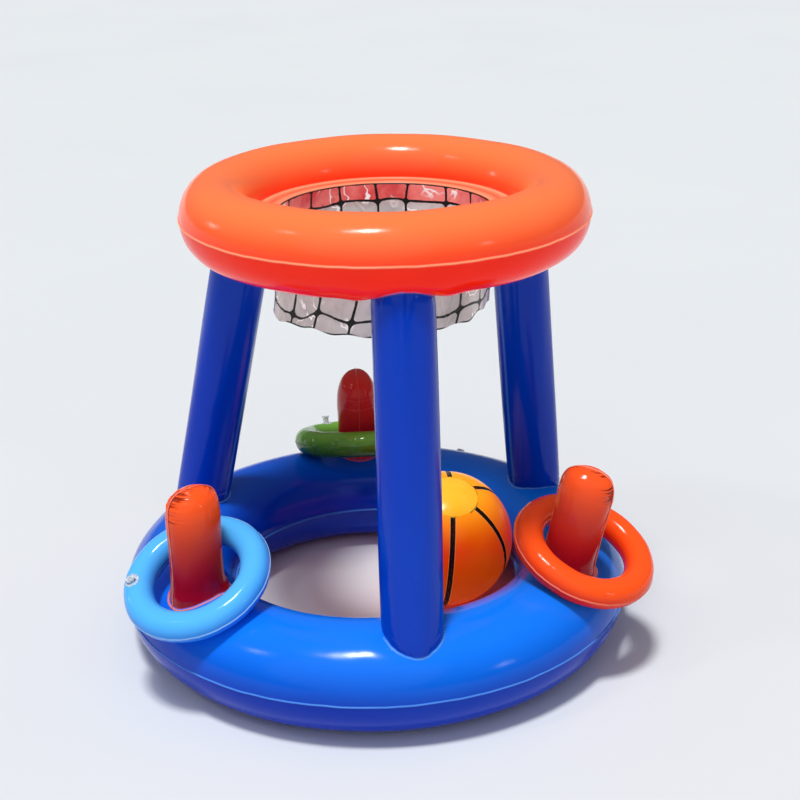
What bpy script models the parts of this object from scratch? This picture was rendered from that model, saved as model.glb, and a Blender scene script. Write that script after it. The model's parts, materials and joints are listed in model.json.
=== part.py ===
"""Floating basketball hoop: an inflatable base ring on three legs under an inflatable hoop, three pegs
with toss rings, and an inflatable ball. Every piece is welded film. Metres, +Z up, floor at z = 0."""

import math

import bmesh
import bpy
from mathutils import Matrix, Vector
from mathutils.bvhtree import BVHTree

# Film, welds and the clearance between pieces that touch
film_thickness = 0.0004
touch_gap = 0.0003
weld_width = 0.003
cut_overrun = 0.010

# The back toss ring overhangs, so the base ring's axis lies in front of the footprint's middle
base_axis_y = -0.0095

# Base ring
base_outer_radius = 0.300
base_tube_width = 0.1282
base_height = 0.1152
base_flat_width = 0.026
air_port_radius = 0.012

# Hoop ring: the height is that of its weld line
hoop_weld_height = 0.509
hoop_outer_radius = 0.228
hoop_tube_width = 0.0816
hoop_tube_height = 0.0864
hoop_offset_x = 0.0198
hoop_inner_flange = 0.025

# Net: a tube of clear film welded under the inner flange of the hoop
net_drop = 0.108
net_lap = 0.006
net_ripple = 0.0025
net_ripple_count = 9
net_row_shares = (-1.0, 0.0, 0.5, 1.0)

# Legs
leg_width = 0.066
# Places of the feet and the heads, out from the middle of the base tube and in from that of the hoop tube
leg_foot_outset = 0.0097
leg_head_inset = 0.0008
leg_weld = 0.005
# Share of the length between the welds, then the share of the width there
leg_row_shares = ((-0.10, 0.94), (0.02, 0.94), (0.06, 0.99), (0.50, 1.04), (0.92, 1.0), (1.08, 0.96))
# Direction of each foot on the base ring, then that of the head under the hoop
leg_directions = {"front": (-86.2, -90.6), "back_right": (28.0, 27.5), "back_left": (147.8, 147.8)}

# Pegs: the width is along the weld plane, which holds the axis of the base ring
peg_width = 0.060
peg_depth = 0.051
peg_height = 0.126
peg_foot_outset = 0.0071
peg_directions = {"front_left": -150.0, "front_right": -30.0, "back": 90.0}
# Lean of each peg, outwards and then sideways
peg_lean_degrees = {"front_left": (0.8, 2.1), "front_right": (11.9, -1.8), "back": (-19.5, 1.1)}
# Share of the height, then the shares of the width and of the depth there
peg_row_shares = (
    (-0.16, 1.26, 1.30),
    (0.00, 1.20, 1.26),
    (0.10, 1.02, 1.08),
    (0.45, 0.99, 1.00),
    (0.72, 1.02, 1.00),
    (0.86, 0.98, 0.82),
    (0.95, 0.74, 0.48),
    (1.00, 0.30, 0.00),
)

# Toss rings
toss_outer_radius = 0.0843
toss_tube_width = 0.0336
toss_tube_height = 0.0325
toss_weld = 0.0015
toss_pegs = {"blue": "front_left", "red": "front_right", "green": "back"}
# Tilt, and turn of its low side from the peg's own direction
toss_tilt_degrees = {"blue": (25.5, 21.0), "red": (24.6, -15.0), "green": (16.0, 0.0)}
# Offset of the ring's middle from the peg's axis, outwards and sideways, in radii of the ring
toss_offset_shares = {"blue": (0.13, 0.219), "red": (0.200, 0.062), "green": (0.052, -0.005)}
# Place of the valve round the ring and round its tube
toss_valve_degrees = {"blue": (-58.0, 80.0), "red": (122.0, 78.0), "green": (34.0, 82.0)}
toss_valves_raised = ("green",)

# Ball
ball_radius = 0.084
ball_cap_angle = 23.5
ball_lap_angle = 1.5
ball_gore_count = 6
ball_azimuth = 14.1
ball_pole_tilt = 24.0
ball_pole_direction = -80.0
ball_seam_turn = 25.0
ball_valve_azimuth = 90.0
ball_valve_polar = 62.0

# Valves: a seat welded on the film, a stem that pushes in, and a plug cap on a strap
valve_bore_radius = 0.0026
valve_stem_radius = 0.0038
valve_rim_radius = 0.0050
valve_rim_thickness = 0.0010
valve_stem_length = 0.0090
valve_clearance = 0.0005
valve_seat_width = 0.0036
valve_seat_thickness = 0.0006
valve_travel = 0.0060
valve_cap_thickness = 0.0012
valve_plug_radius = 0.0019
valve_plug_length = 0.0018
valve_strap_width = 0.0034
valve_hinge_offset = 0.0064
base_valve_azimuth = 60.0
base_valve_angle = 48.0
hoop_valve_azimuth = 90.0
hoop_valve_angle = 48.0

# Facets
base_steps = 40
base_arc_steps = 8
hoop_steps = 36
hoop_arc_steps = 6
toss_steps = 20
toss_arc_steps = 4
leg_columns = 18
net_columns = 36
peg_columns = 6
gore_rows = 8
gore_columns = 3
cap_columns = 18
cap_rows = 2
valve_columns = 12

# Side that an open surface takes its film thickness on: 1 is outwards
outward_share = 1.0

# Halvings in the search for the place where a loose piece comes to rest
rest_halvings = 16

# Sizes that follow from those above
base_a = base_tube_width / 2
base_radius = base_outer_radius - base_a
flat_share = math.sqrt(1 - (base_flat_width / base_tube_width) ** 2)
base_b = base_height / (1 + flat_share)
base_centre_height = base_height - base_b
leg_foot_place = base_radius + leg_foot_outset
peg_foot_place = base_radius + peg_foot_outset
hoop_a = hoop_tube_width / 2
hoop_b = hoop_tube_height / 2
hoop_radius = hoop_outer_radius - hoop_a
leg_head_place = hoop_radius - leg_head_inset
net_radius = hoop_radius - hoop_a - hoop_inner_flange
toss_a = toss_tube_width / 2
toss_b = toss_tube_height / 2
toss_radius = toss_outer_radius - toss_a
weld_level = film_thickness + touch_gap / 2

collection = bpy.data.collections.new("Floating basketball hoop")
cutters = bpy.data.collections.new("Cutters")


def clear_scene():
    for old in list(bpy.data.objects):
        bpy.data.objects.remove(old, do_unlink=True)
    bpy.context.scene.collection.children.link(collection)
    bpy.context.scene.collection.children.link(cutters)


def material(name, colour, roughness=0.22, alpha=1.0):
    """A glossy film: a Principled surface of one colour."""
    made = bpy.data.materials.new(name)
    made.use_nodes = True
    shader = made.node_tree.nodes["Principled BSDF"]
    shader.inputs["Base Color"].default_value = (*colour, 1.0)
    shader.inputs["Roughness"].default_value = roughness
    shader.inputs["Metallic"].default_value = 0.0
    shader.inputs["Alpha"].default_value = alpha
    made.diffuse_color = (*colour, 1.0)
    return made


def empty(name, place, parent=None, turn=None):
    """An origin for a moving piece or a group of pieces, placed in its parent's space."""
    made = bpy.data.objects.new(name, None)
    collection.objects.link(made)
    made.empty_display_size = ball_radius
    made.parent = parent
    made.matrix_local = Matrix.Translation(place) @ (turn or Matrix.Identity(4))
    return made


def add_object(name, mesh, parent, surface, group=None):
    """Links a mesh as an object in its parent's space, with smooth faces."""
    made = bpy.data.objects.new(name, mesh)
    (group or collection).objects.link(made)
    made.parent = parent
    if surface is not None:
        mesh.materials.append(surface)
    mesh.shade_smooth()
    mesh.set_sharp_from_angle(angle=math.radians(50))
    if group is cutters:
        made.hide_render = True
        made.display_type = "WIRE"
    return made


def thicken(made, thickness, outwards=False):
    """Gives an open surface its film thickness, inwards unless told otherwise."""
    solidify = made.modifiers.new("Film thickness", "SOLIDIFY")
    solidify.thickness = thickness
    solidify.offset = outward_share if outwards else -outward_share
    solidify.use_even_offset = True
    return solidify


def cut(made, *tools, operation="DIFFERENCE"):
    """Adds one Boolean for each cutter."""
    for tool in tools:
        boolean = made.modifiers.new(tool.name, "BOOLEAN")
        boolean.operation = operation
        boolean.solver = "EXACT"
        boolean.object = tool


def turned(name, profile, steps, parent, surface, group=None):
    """A profile of (radius, height) points turned once about the parent's Z axis."""
    mesh = bpy.data.meshes.new(name)
    points = [(radius, 0.0, height) for radius, height in profile]
    mesh.from_pydata(points, [(i, i + 1) for i in range(len(points) - 1)], [])
    made = add_object(name, mesh, parent, surface, group)
    screw = made.modifiers.new("Turn", "SCREW")
    screw.steps = steps
    screw.render_steps = steps
    screw.use_merge_vertices = True
    screw.merge_threshold = film_thickness / 40
    screw.use_smooth_shade = True
    return made


def lofted(name, rows, parent, surface, closed, group=None):
    """A surface through rows of points, each with as many points as the next."""
    shape = bmesh.new()
    lines = [[shape.verts.new(point) for point in row] for row in rows]
    count = len(rows[0])
    for low, high in zip(lines, lines[1:]):
        for i in range(count if closed else count - 1):
            j = (i + 1) % count
            shape.faces.new((low[i], low[j], high[j], high[i]))
    mesh = bpy.data.meshes.new(name)
    shape.to_mesh(mesh)
    shape.free()
    return add_object(name, mesh, parent, surface, group)


def tube_point(radius, a, b, angle):
    """A point of a tube's section, as (distance from the ring's axis, height from its weld)."""
    return radius + a * math.cos(angle), b * math.sin(angle)


def ring_arc(sizes, arc_steps, upper, flat=0.0, grown=0.0):
    """Section of half a ring from its outer weld to its inner one, with any flat underneath."""
    radius, a, b = sizes
    side = 1.0 if upper else -1.0
    middle = math.pi / 2
    flat_angle = math.asin(flat / 2 / a)
    stretches = ((0.0, middle - flat_angle), (middle + flat_angle, math.pi)) if flat else ((0.0, math.pi),)
    arc = []
    for first, last in stretches:
        count = arc_steps // len(stretches)
        for i in range(count + 1):
            angle = first + (last - first) * i / count
            x, z = tube_point(radius, a, b - weld_level, angle)
            out = Vector((math.cos(angle), math.sin(angle) * side)) * grown
            arc.append((x + out.x, side * (weld_level + z) + out.y))
    return arc


def film_ring(name, sizes, steps, arc_steps, parent, surface, upper, welds, flat=0.0):
    """Half of an inflated ring: an arc over or under the tube, with a flat weld along each edge."""
    radius, a, _ = sizes
    outer_weld, inner_weld = welds
    level = weld_level if upper else -weld_level
    arc = ring_arc(sizes, arc_steps, upper, flat)
    outer = [(radius + a + outer_weld, level)]
    inner = [(radius - a - inner_weld, level)] if inner_weld else []
    profile = inner + arc[::-1] + outer if upper else outer + arc + inner
    made = turned(name, profile, steps, parent, surface)
    thicken(made, film_thickness)
    return made


def ring_solid(name, sizes, steps, arc_steps, parent, grown):
    """A whole solid ring with the same facets as its films, grown by a clearance, as a cutter."""
    upper = ring_arc(sizes, arc_steps, True, grown=grown)
    lower = ring_arc(sizes, arc_steps, False, grown=grown)
    profile = upper[::-1] + lower + upper[-1:]
    return turned(name, profile, steps, parent, None, cutters)


def cylinder_cutter(name, radius, length, matrix, parent):
    """A closed cylinder that cuts a hole, centred on its matrix."""
    shape = bmesh.new()
    bmesh.ops.create_cone(
        shape, cap_ends=True, segments=valve_columns, radius1=radius, radius2=radius, depth=length
    )
    mesh = bpy.data.meshes.new(name)
    shape.to_mesh(mesh)
    shape.free()
    made = add_object(name, mesh, parent, None, cutters)
    made.matrix_local = matrix
    return made


def outline(pieces):
    """Corners and faces of some pieces as built, in world space."""
    bpy.context.view_layer.update()
    graph = bpy.context.evaluated_depsgraph_get()
    corners, faces = [], []
    for piece in pieces:
        built = piece.evaluated_get(graph)
        mesh = built.to_mesh()
        first = len(corners)
        corners += [built.matrix_world @ corner.co for corner in mesh.vertices]
        faces += [[first + i for i in face.vertices] for face in mesh.polygons]
        built.to_mesh_clear()
    return corners, faces


def free_travel(pieces, stops, direction, reach):
    """How far some pieces go along a direction before they meet their stops."""
    corners, faces = outline(pieces)
    wall = BVHTree.FromPolygons(*outline(stops))
    clear, blocked = 0.0, reach
    for _ in range(rest_halvings):
        middle = (clear + blocked) / 2
        moved = [corner + direction * middle for corner in corners]
        if BVHTree.FromPolygons(moved, faces).overlap(wall):
            blocked = middle
        else:
            clear = middle
    return clear


def spot(degrees, distance, height=0.0):
    angle = math.radians(degrees)
    return Vector((distance * math.cos(angle), distance * math.sin(angle), height))


def tilt_matrix(degrees, towards):
    """A turn that leans Z by some degrees towards a direction in plan."""
    lean = Matrix.Rotation(math.radians(degrees), 4, "Y")
    heading = Matrix.Rotation(math.radians(towards), 4, "Z")
    return heading @ lean @ heading.inverted()


def peg_slopes(name):
    """How far a peg's axis goes outwards and sideways for each step up."""
    return [math.tan(math.radians(degrees)) for degrees in peg_lean_degrees[name]]


def peg_turn(name):
    """The frame of a peg: Z along its axis, X outwards from the base ring's axis."""
    outwards, sideways = peg_slopes(name)
    axis = Vector((outwards, sideways, 1.0)).normalized()
    across = Vector((0.0, 1.0, 0.0)).cross(axis).normalized()
    axes = Matrix((across, axis.cross(across), axis)).transposed().to_4x4()
    return Matrix.Rotation(math.radians(peg_directions[name]), 4, "Z") @ axes


def ring_place(sizes, azimuth, angle):
    """The frame of a valve on a ring's film: Z out of the film, X down the slope of the tube."""
    radius, a, b = sizes
    section = math.radians(angle)
    x, z = tube_point(radius, a, b, section)
    outward = Vector((math.cos(section) / a, 0.0, math.sin(section) / b)).normalized()
    downhill = Vector((outward.z, 0.0, -outward.x))
    turn = Matrix.Rotation(math.radians(azimuth), 4, "Z")
    axes = Matrix((downhill, outward.cross(downhill), outward)).transposed().to_4x4()
    return turn @ Matrix.Translation((x, 0.0, z)) @ axes


def ball_place(azimuth, polar):
    """The frame of a valve on a sphere about its parent's origin."""
    turn = Matrix.Rotation(math.radians(azimuth), 4, "Z") @ Matrix.Rotation(math.radians(polar), 4, "Y")
    return turn @ Matrix.Translation((0.0, 0.0, ball_radius))


def skin_of(name, solid, parent, thickness):
    """Two grown copies of a film's outside: what lies on the film fits between them."""
    return {
        "inside": solid(name + "_inside", parent, touch_gap),
        "outside": solid(name + "_outside", parent, touch_gap + thickness),
    }


def ring_skin(name, sizes, steps, arc_steps, parent, thickness):
    def solid(made_name, made_parent, grown):
        return ring_solid(made_name, sizes, steps, arc_steps, made_parent, grown)

    return skin_of(name, solid, parent, thickness)


def washer(name, inner, outer, reach, columns, matrix, parent, surface, skin, group=None):
    """A flat collar that follows the film it is welded to."""
    made = turned(
        name,
        [(inner, reach), (outer, reach), (outer, -reach), (inner, -reach), (inner, reach)],
        columns,
        parent,
        surface,
        group,
    )
    made.matrix_local = matrix
    cut(made, skin["outside"], operation="INTERSECT")
    cut(made, skin["inside"])
    return made


def valve(prefix, parent, film, place, surface, raised, skin):
    """Seat, stem and plug cap of a valve, and the hole that the stem has in the film."""
    hole_radius = valve_stem_radius + valve_clearance
    hole = cylinder_cutter(prefix + "_hole", hole_radius, 2 * cut_overrun, place, parent)
    cut(film, hole)
    seat_radius = hole_radius + valve_seat_width
    washer(
        prefix + "_seat", hole_radius, seat_radius, cut_overrun, valve_columns, place, parent, surface, skin
    )

    rise = valve_travel if raised else 0.0
    seat_top = valve_seat_thickness + 2 * touch_gap
    stem_origin = empty(prefix + "_stem_origin", (0.0, 0.0, 0.0), parent, place)
    rim_low = rise + seat_top
    rim_top = rim_low + valve_rim_thickness
    stem_low = rim_low - valve_stem_length
    stem = turned(
        prefix + "_stem",
        [
            (valve_bore_radius, rim_top),
            (valve_rim_radius, rim_top),
            (valve_rim_radius, rim_low),
            (valve_stem_radius, rim_low),
            (valve_stem_radius, stem_low),
            (valve_bore_radius, stem_low),
            (valve_bore_radius, rim_top),
        ],
        valve_columns,
        stem_origin,
        surface,
    )
    strap_reach = valve_hinge_offset - (valve_bore_radius + valve_rim_radius) / 2
    strap(stem, prefix + "_stem_strap", stem_origin, strap_reach, rim_low, rim_top)

    hinge_height = rim_top + touch_gap / 2
    cap_origin = empty(
        prefix + "_cap_origin", (-valve_hinge_offset, 0.0, hinge_height), stem_origin
    )
    cap_low = touch_gap / 2
    cap_top = cap_low + valve_cap_thickness
    body = empty(prefix + "_plug_axis", (valve_hinge_offset, 0.0, 0.0), cap_origin)
    cap = turned(
        prefix + "_cap",
        [
            (0.0, cap_top),
            (valve_rim_radius, cap_top),
            (valve_rim_radius, cap_low),
            (valve_plug_radius, cap_low),
            (valve_plug_radius, cap_low - valve_plug_length),
            (0.0, cap_low - valve_plug_length),
        ],
        valve_columns,
        body,
        surface,
    )
    strap(cap, prefix + "_cap_strap", body, strap_reach, cap_low, cap_top)


def strap(made, name, parent, reach, low, high):
    """Joins a flat strap to a turned piece, from its rim out to the hinge line."""
    shape = bmesh.new()
    bmesh.ops.create_cube(shape, size=1.0)
    mesh = bpy.data.meshes.new(name)
    bmesh.ops.scale(shape, vec=(reach, valve_strap_width, high - low), verts=shape.verts)
    middle = (-valve_hinge_offset + reach / 2, 0.0, (low + high) / 2)
    bmesh.ops.translate(shape, vec=middle, verts=shape.verts)
    shape.to_mesh(mesh)
    shape.free()
    tool = add_object(name, mesh, parent, None, cutters)
    cut(made, tool, operation="UNION")


def make_base(root, surface, valve_surface):
    """The base ring's two films, with an air port under each leg and each peg."""
    centre = empty("base_ring_centre", (0.0, 0.0, base_centre_height), root)
    sizes = (base_radius, base_a, base_b)
    welds = (weld_width, weld_width)
    upper = film_ring(
        "base_ring_upper_film", sizes, base_steps, base_arc_steps, centre, surface, True, welds
    )
    lower = film_ring(
        "base_ring_lower_film", sizes, base_steps, base_arc_steps, centre, surface, False, welds,
        base_flat_width,
    )
    feet = {name: spot(directions[0], leg_foot_place, base_b) for name, directions in leg_directions.items()}
    feet |= {name: spot(direction, peg_foot_place, base_b) for name, direction in peg_directions.items()}
    for name, foot in feet.items():
        port = Matrix.Translation(foot)
        cut(upper, cylinder_cutter("air_port_" + name, air_port_radius, 2 * cut_overrun, port, centre))
    seat_skin = ring_skin("base_seat", sizes, base_steps, base_arc_steps, centre, valve_seat_thickness)
    place = ring_place(sizes, base_valve_azimuth, base_valve_angle)
    valve("base_valve", centre, upper, place, valve_surface, False, seat_skin)
    weld_skin = ring_skin("base_weld", sizes, base_steps, base_arc_steps, centre, film_thickness)
    return [upper, lower], weld_skin


def make_hoop(root, surface, valve_surface):
    """The hoop's two films, whose inner weld is a wide flange that carries the net."""
    centre = empty("hoop_ring_centre", (hoop_offset_x, 0.0, hoop_weld_height), root)
    sizes = (hoop_radius, hoop_a, hoop_b)
    welds = (weld_width, hoop_inner_flange)
    upper = film_ring("hoop_upper_film", sizes, hoop_steps, hoop_arc_steps, centre, surface, True, welds)
    film_ring("hoop_lower_film", sizes, hoop_steps, hoop_arc_steps, centre, surface, False, welds)
    skin = ring_skin("hoop_seat", sizes, hoop_steps, hoop_arc_steps, centre, valve_seat_thickness)
    place = ring_place(sizes, hoop_valve_azimuth, hoop_valve_angle)
    valve("hoop_valve", centre, upper, place, valve_surface, False, skin)
    return centre, skin["inside"]


def make_net(centre, surface):
    """The net film: a lap under the flange, then a tube that hangs in soft ripples."""
    top = -weld_level - film_thickness - touch_gap
    rows = []
    for share in net_row_shares:
        row = []
        for i in range(net_columns):
            around = 2 * math.pi * i / net_columns
            hang = max(0.0, share)
            wave = net_ripple * hang * math.cos(net_ripple_count * around)
            radius = net_radius + net_lap * max(0.0, -share) + wave
            row.append((radius * math.cos(around), radius * math.sin(around), top - net_drop * hang))
        rows.append(row)
    net = lofted("net_film", rows[::-1], centre, surface, closed=True)
    thicken(net, film_thickness)


def make_leg(name, directions, root, surface, weld_skin, hoop_inside):
    """One leg: a film sleeve, welded to the base ring by a flange and to the underside of the hoop."""
    foot = spot(directions[0], leg_foot_place, base_height)
    head = spot(directions[1], leg_head_place, hoop_weld_height - hoop_b)
    head += Vector((hoop_offset_x, 0.0, 0.0))
    axis = head - foot
    origin = empty("leg_" + name + "_foot", foot, root, axis.to_track_quat("Z", "Y").to_matrix().to_4x4())
    rows = []
    for height_share, width_share in leg_row_shares:
        radius = leg_width / 2 * width_share
        height = axis.length * height_share
        rows.append([spot(360.0 * i / leg_columns, radius, height) for i in range(leg_columns)])
    sleeve = lofted("leg_" + name + "_sleeve", rows, origin, surface, closed=True)
    thicken(sleeve, film_thickness)
    inner = leg_width / 2 * leg_row_shares[0][1] - film_thickness / 2
    flat = Matrix.Identity(4)
    flange = washer(
        "leg_" + name + "_weld", inner, inner + leg_weld, base_b / 2, leg_columns, flat, origin, None,
        weld_skin, cutters,
    )
    cut(sleeve, flange, operation="UNION")
    cut(sleeve, weld_skin["inside"], hoop_inside)


def make_peg(name, direction, root, surface, base_inside):
    """One peg: two films welded along their sides and over the top, and round the foot to the ring."""
    foot = spot(direction, peg_foot_place, base_height)
    origin = empty("peg_" + name + "_foot", foot, root, peg_turn(name))
    for half, side in (("left_panel", 1.0), ("right_panel", -1.0)):
        rows = []
        for share, width_share, depth_share in peg_row_shares:
            half_width = peg_width / 2 * width_share
            half_depth = peg_depth / 2 * depth_share
            height = peg_height * share
            row = [Vector((half_width + weld_width, side * weld_level, height))]
            for i in range(peg_columns + 1):
                around = math.pi * i / peg_columns
                y = side * (weld_level + half_depth * math.sin(around))
                row.append(Vector((half_width * math.cos(around), y, height)))
            row.append(Vector((-half_width - weld_width, side * weld_level, height)))
            rows.append(row)
        rows.append([point + Vector((0.0, 0.0, weld_width)) for point in rows[-1]])
        if side < 0:
            rows = rows[::-1]
        panel = lofted("peg_" + name + "_" + half, rows, origin, surface, closed=False)
        thicken(panel, film_thickness)
        cut(panel, base_inside)


def make_toss_ring(name, root, surface, valve_surface, base_films):
    """One toss ring, lowered round its peg until it rests on the crest of the base ring."""
    peg = toss_pegs[name]
    direction = peg_directions[peg]
    tilt, turn = toss_tilt_degrees[name]
    out_share, side_share = toss_offset_shares[name]
    out_slope, side_slope = peg_slopes(peg)
    lift = toss_outer_radius * math.sin(math.radians(tilt)) + toss_tube_height
    plan_radius = peg_foot_place + out_share * toss_radius + out_slope * toss_a
    middle = spot(direction, plan_radius, base_height + lift)
    middle += spot(direction + 90.0, side_share * toss_radius + side_slope * toss_a)
    heading = direction + turn
    matrix = tilt_matrix(tilt, heading) @ Matrix.Rotation(math.radians(heading), 4, "Z")
    prefix = "toss_ring_" + name
    centre = empty(prefix + "_centre", middle, root, matrix)
    sizes = (toss_radius, toss_a, toss_b)
    welds = (toss_weld, 0.0)
    steps = (toss_steps, toss_arc_steps)
    upper = film_ring(prefix + "_upper_film", sizes, *steps, centre, surface, True, welds)
    lower = film_ring(prefix + "_lower_film", sizes, *steps, centre, surface, False, welds)
    drop = free_travel([upper, lower], base_films, Vector((0.0, 0.0, -1.0)), lift) - touch_gap
    centre.location.z -= drop
    skin = ring_skin(prefix + "_seat", sizes, *steps, centre, valve_seat_thickness)
    place = ring_place(sizes, *toss_valve_degrees[name])
    raised = name in toss_valves_raised
    valve("toss_" + name + "_valve", centre, upper, place, valve_surface, raised, skin)


def ball_row(polar, azimuths, radius):
    """Points along one parallel of a sphere."""
    angle = math.radians(polar)
    return [spot(azimuth, radius * math.sin(angle), radius * math.cos(angle)) for azimuth in azimuths]


def ball_solid(name, parent, grown):
    """A whole solid ball with the same facets as its gores, grown by a clearance, as a cutter."""
    radius = ball_radius + grown
    count = ball_gore_count * gore_columns
    azimuths = [360.0 * i / count for i in range(count)]
    rows = [ball_row(polar, azimuths, radius) for polar in gore_polars()]
    made = lofted(name, rows[::-1], parent, None, closed=True, group=cutters)
    shape = bmesh.new()
    shape.from_mesh(made.data)
    bmesh.ops.holes_fill(shape, edges=shape.edges)
    shape.to_mesh(made.data)
    shape.free()
    return made


def gore_polars():
    first, last = ball_cap_angle - ball_lap_angle, 180.0 - ball_cap_angle + ball_lap_angle
    return [first + (last - first) * i / gore_rows for i in range(gore_rows + 1)]


def make_ball(root, surface, cap_surface, valve_surface, base_films):
    """The ball: gores between two round caps that lap over their ends, rolled against the base ring."""
    lap_radius = ball_radius + touch_gap + film_thickness
    turn = tilt_matrix(ball_pole_tilt, ball_pole_direction)
    spin = Matrix.Rotation(math.radians(ball_seam_turn), 4, "Z")
    start = spot(ball_azimuth, 0.0, lap_radius + touch_gap)
    centre = empty("ball_centre", start, root, turn @ spin)
    span = 360.0 / ball_gore_count
    pieces = []
    for number in range(ball_gore_count):
        rows = []
        for polar in gore_polars():
            half_gap = math.degrees(touch_gap / 2 / (ball_radius * math.sin(math.radians(polar))))
            low, high = number * span + half_gap, (number + 1) * span - half_gap
            azimuths = [low + (high - low) * k / gore_columns for k in range(gore_columns + 1)]
            rows.append(ball_row(polar, azimuths, ball_radius))
        gore = lofted(f"ball_gore_{number + 1}", rows[::-1], centre, surface, closed=False)
        thicken(gore, film_thickness)
        pieces.append(gore)
    for name, top in (("ball_top_cap", 1.0), ("ball_bottom_cap", -1.0)):
        profile = []
        for i in range(cap_rows + 1):
            angle = math.radians(ball_cap_angle) * i / cap_rows
            profile.append((lap_radius * math.sin(angle), top * lap_radius * math.cos(angle)))
        cap = turned(name, profile if top > 0 else profile[::-1], cap_columns, centre, cap_surface)
        thicken(cap, film_thickness)
        pieces.append(cap)
    ahead = spot(ball_azimuth, 1.0)
    centre.location += ahead * (free_travel(pieces, base_films, ahead, base_radius) - touch_gap)
    skin = skin_of("ball_seat", ball_solid, centre, valve_seat_thickness)
    place = ball_place(ball_valve_azimuth, ball_valve_polar)
    gore = pieces[int(ball_valve_azimuth // span)]
    valve("ball_valve", centre, gore, place, valve_surface, False, skin)


def main():
    clear_scene()
    blue = material("Royal blue film", (0.004, 0.075, 0.55))
    orange = material("Orange film", (0.90, 0.09, 0.008))
    red = material("Red film", (0.55, 0.015, 0.008))
    net = material("Clear net film", (0.45, 0.46, 0.48), 0.18, 0.55)
    clear = material("Clear valve film", (0.62, 0.66, 0.70), 0.2, 0.6)
    ball_orange = material("Ball orange film", (0.80, 0.14, 0.004))
    ball_yellow = material("Ball yellow film", (0.90, 0.38, 0.015))
    toss_surfaces = {
        "blue": material("Light blue film", (0.06, 0.38, 0.90)),
        "red": material("Orange red film", (0.85, 0.045, 0.008)),
        "green": material("Green film", (0.06, 0.22, 0.03), 0.2, 0.85),
    }
    root = empty("footprint_centre", (0.0, 0.0, 0.0))
    axis = empty("base_axis", (0.0, base_axis_y, 0.0), root)
    base_films, weld_skin = make_base(axis, blue, clear)
    hoop_centre, hoop_inside = make_hoop(axis, orange, clear)
    make_net(hoop_centre, net)
    for name, directions in leg_directions.items():
        make_leg(name, directions, axis, blue, weld_skin, hoop_inside)
    for name, direction in peg_directions.items():
        make_peg(name, direction, axis, red, weld_skin["inside"])
    for name, surface in toss_surfaces.items():
        make_toss_ring(name, axis, surface, clear, base_films)
    make_ball(axis, ball_orange, ball_yellow, clear, base_films)
    bpy.context.view_layer.update()


main()
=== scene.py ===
# %% [markdown]
# # A floating hoop set, dressed from its solids
#
# The set is made of welded vinyl film: a blue base ring, an orange hoop on three blue legs, a clear
# printed net, three red pegs, three toss rings and a ball. The solids in the frame are plain and
# faceted. This lesson covers each of them with a finer film that has the same size and place, with
# its weld lines, its puckers and its gloss.

# %% Load the frame
import json
import math

import bmesh
import bpy
import numpy as np
from mathutils import Matrix, Vector

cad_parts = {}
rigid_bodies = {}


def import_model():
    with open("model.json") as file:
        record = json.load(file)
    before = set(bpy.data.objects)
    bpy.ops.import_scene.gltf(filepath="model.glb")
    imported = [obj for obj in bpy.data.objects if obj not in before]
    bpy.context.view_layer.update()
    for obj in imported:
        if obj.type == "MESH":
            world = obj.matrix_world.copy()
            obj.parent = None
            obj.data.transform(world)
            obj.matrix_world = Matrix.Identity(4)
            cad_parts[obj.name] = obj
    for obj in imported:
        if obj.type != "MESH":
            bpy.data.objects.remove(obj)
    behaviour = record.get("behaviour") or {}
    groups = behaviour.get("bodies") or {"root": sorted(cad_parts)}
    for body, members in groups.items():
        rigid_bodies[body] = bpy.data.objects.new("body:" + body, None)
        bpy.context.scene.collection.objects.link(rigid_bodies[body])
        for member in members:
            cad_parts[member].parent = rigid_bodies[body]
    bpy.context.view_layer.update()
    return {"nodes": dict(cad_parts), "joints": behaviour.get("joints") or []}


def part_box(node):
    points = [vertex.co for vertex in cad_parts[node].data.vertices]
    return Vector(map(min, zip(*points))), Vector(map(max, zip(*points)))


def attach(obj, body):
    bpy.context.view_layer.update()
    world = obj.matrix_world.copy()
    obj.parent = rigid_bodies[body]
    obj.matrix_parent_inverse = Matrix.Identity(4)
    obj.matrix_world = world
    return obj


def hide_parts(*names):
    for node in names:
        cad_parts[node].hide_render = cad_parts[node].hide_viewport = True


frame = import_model()
joints = {joint["name"]: joint for joint in frame["joints"]}
print("solids:", len(frame["nodes"]), "joints:", len(joints))

# %% [markdown]
# ## The camera comes first
#
# The camera stands in front of the set, slightly to the left, and looks down at about 22 degrees.
# Its place is given from the base ring's axis, which the frame tells: the middle of the lower base
# film's box. A camera could be set by eye, but this one's place and turn were fitted to outlines in
# the photograph, so a render and the photograph can be laid over each other. A lens of 68 mm on a
# 36 mm sensor gives its perspective. The camera sees far, because the floor reaches to the horizon.

# %% Place the camera
base_low, base_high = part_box("base_ring_lower_film")
base_axis = Vector(((base_low.x + base_high.x) / 2, (base_low.y + base_high.y) / 2, 0.0))
camera_place = base_axis + Vector((-0.1386, -1.6348, 0.9328))
azimuth, elevation, roll = (math.radians(x) for x in (-5.98, 21.70, -1.02))
back = Vector((
    math.sin(azimuth) * math.cos(elevation),
    -math.cos(azimuth) * math.cos(elevation),
    math.sin(elevation),
))
level = Vector((math.cos(azimuth), math.sin(azimuth), 0.0))
right = level * math.cos(roll) + back.cross(level) * math.sin(roll)
camera = bpy.data.objects.new("camera", bpy.data.cameras.new("camera"))
bpy.context.scene.collection.objects.link(camera)
turned = Matrix((right, back.cross(right), back)).transposed().to_4x4()
camera.matrix_world = Matrix.Translation(camera_place) @ turned
camera.data.sensor_width = 36.0
camera.data.lens = 68.1
camera.data.clip_end = 700.0
bpy.context.scene.camera = camera
print("camera at", [round(x, 3) for x in camera_place])

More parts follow.
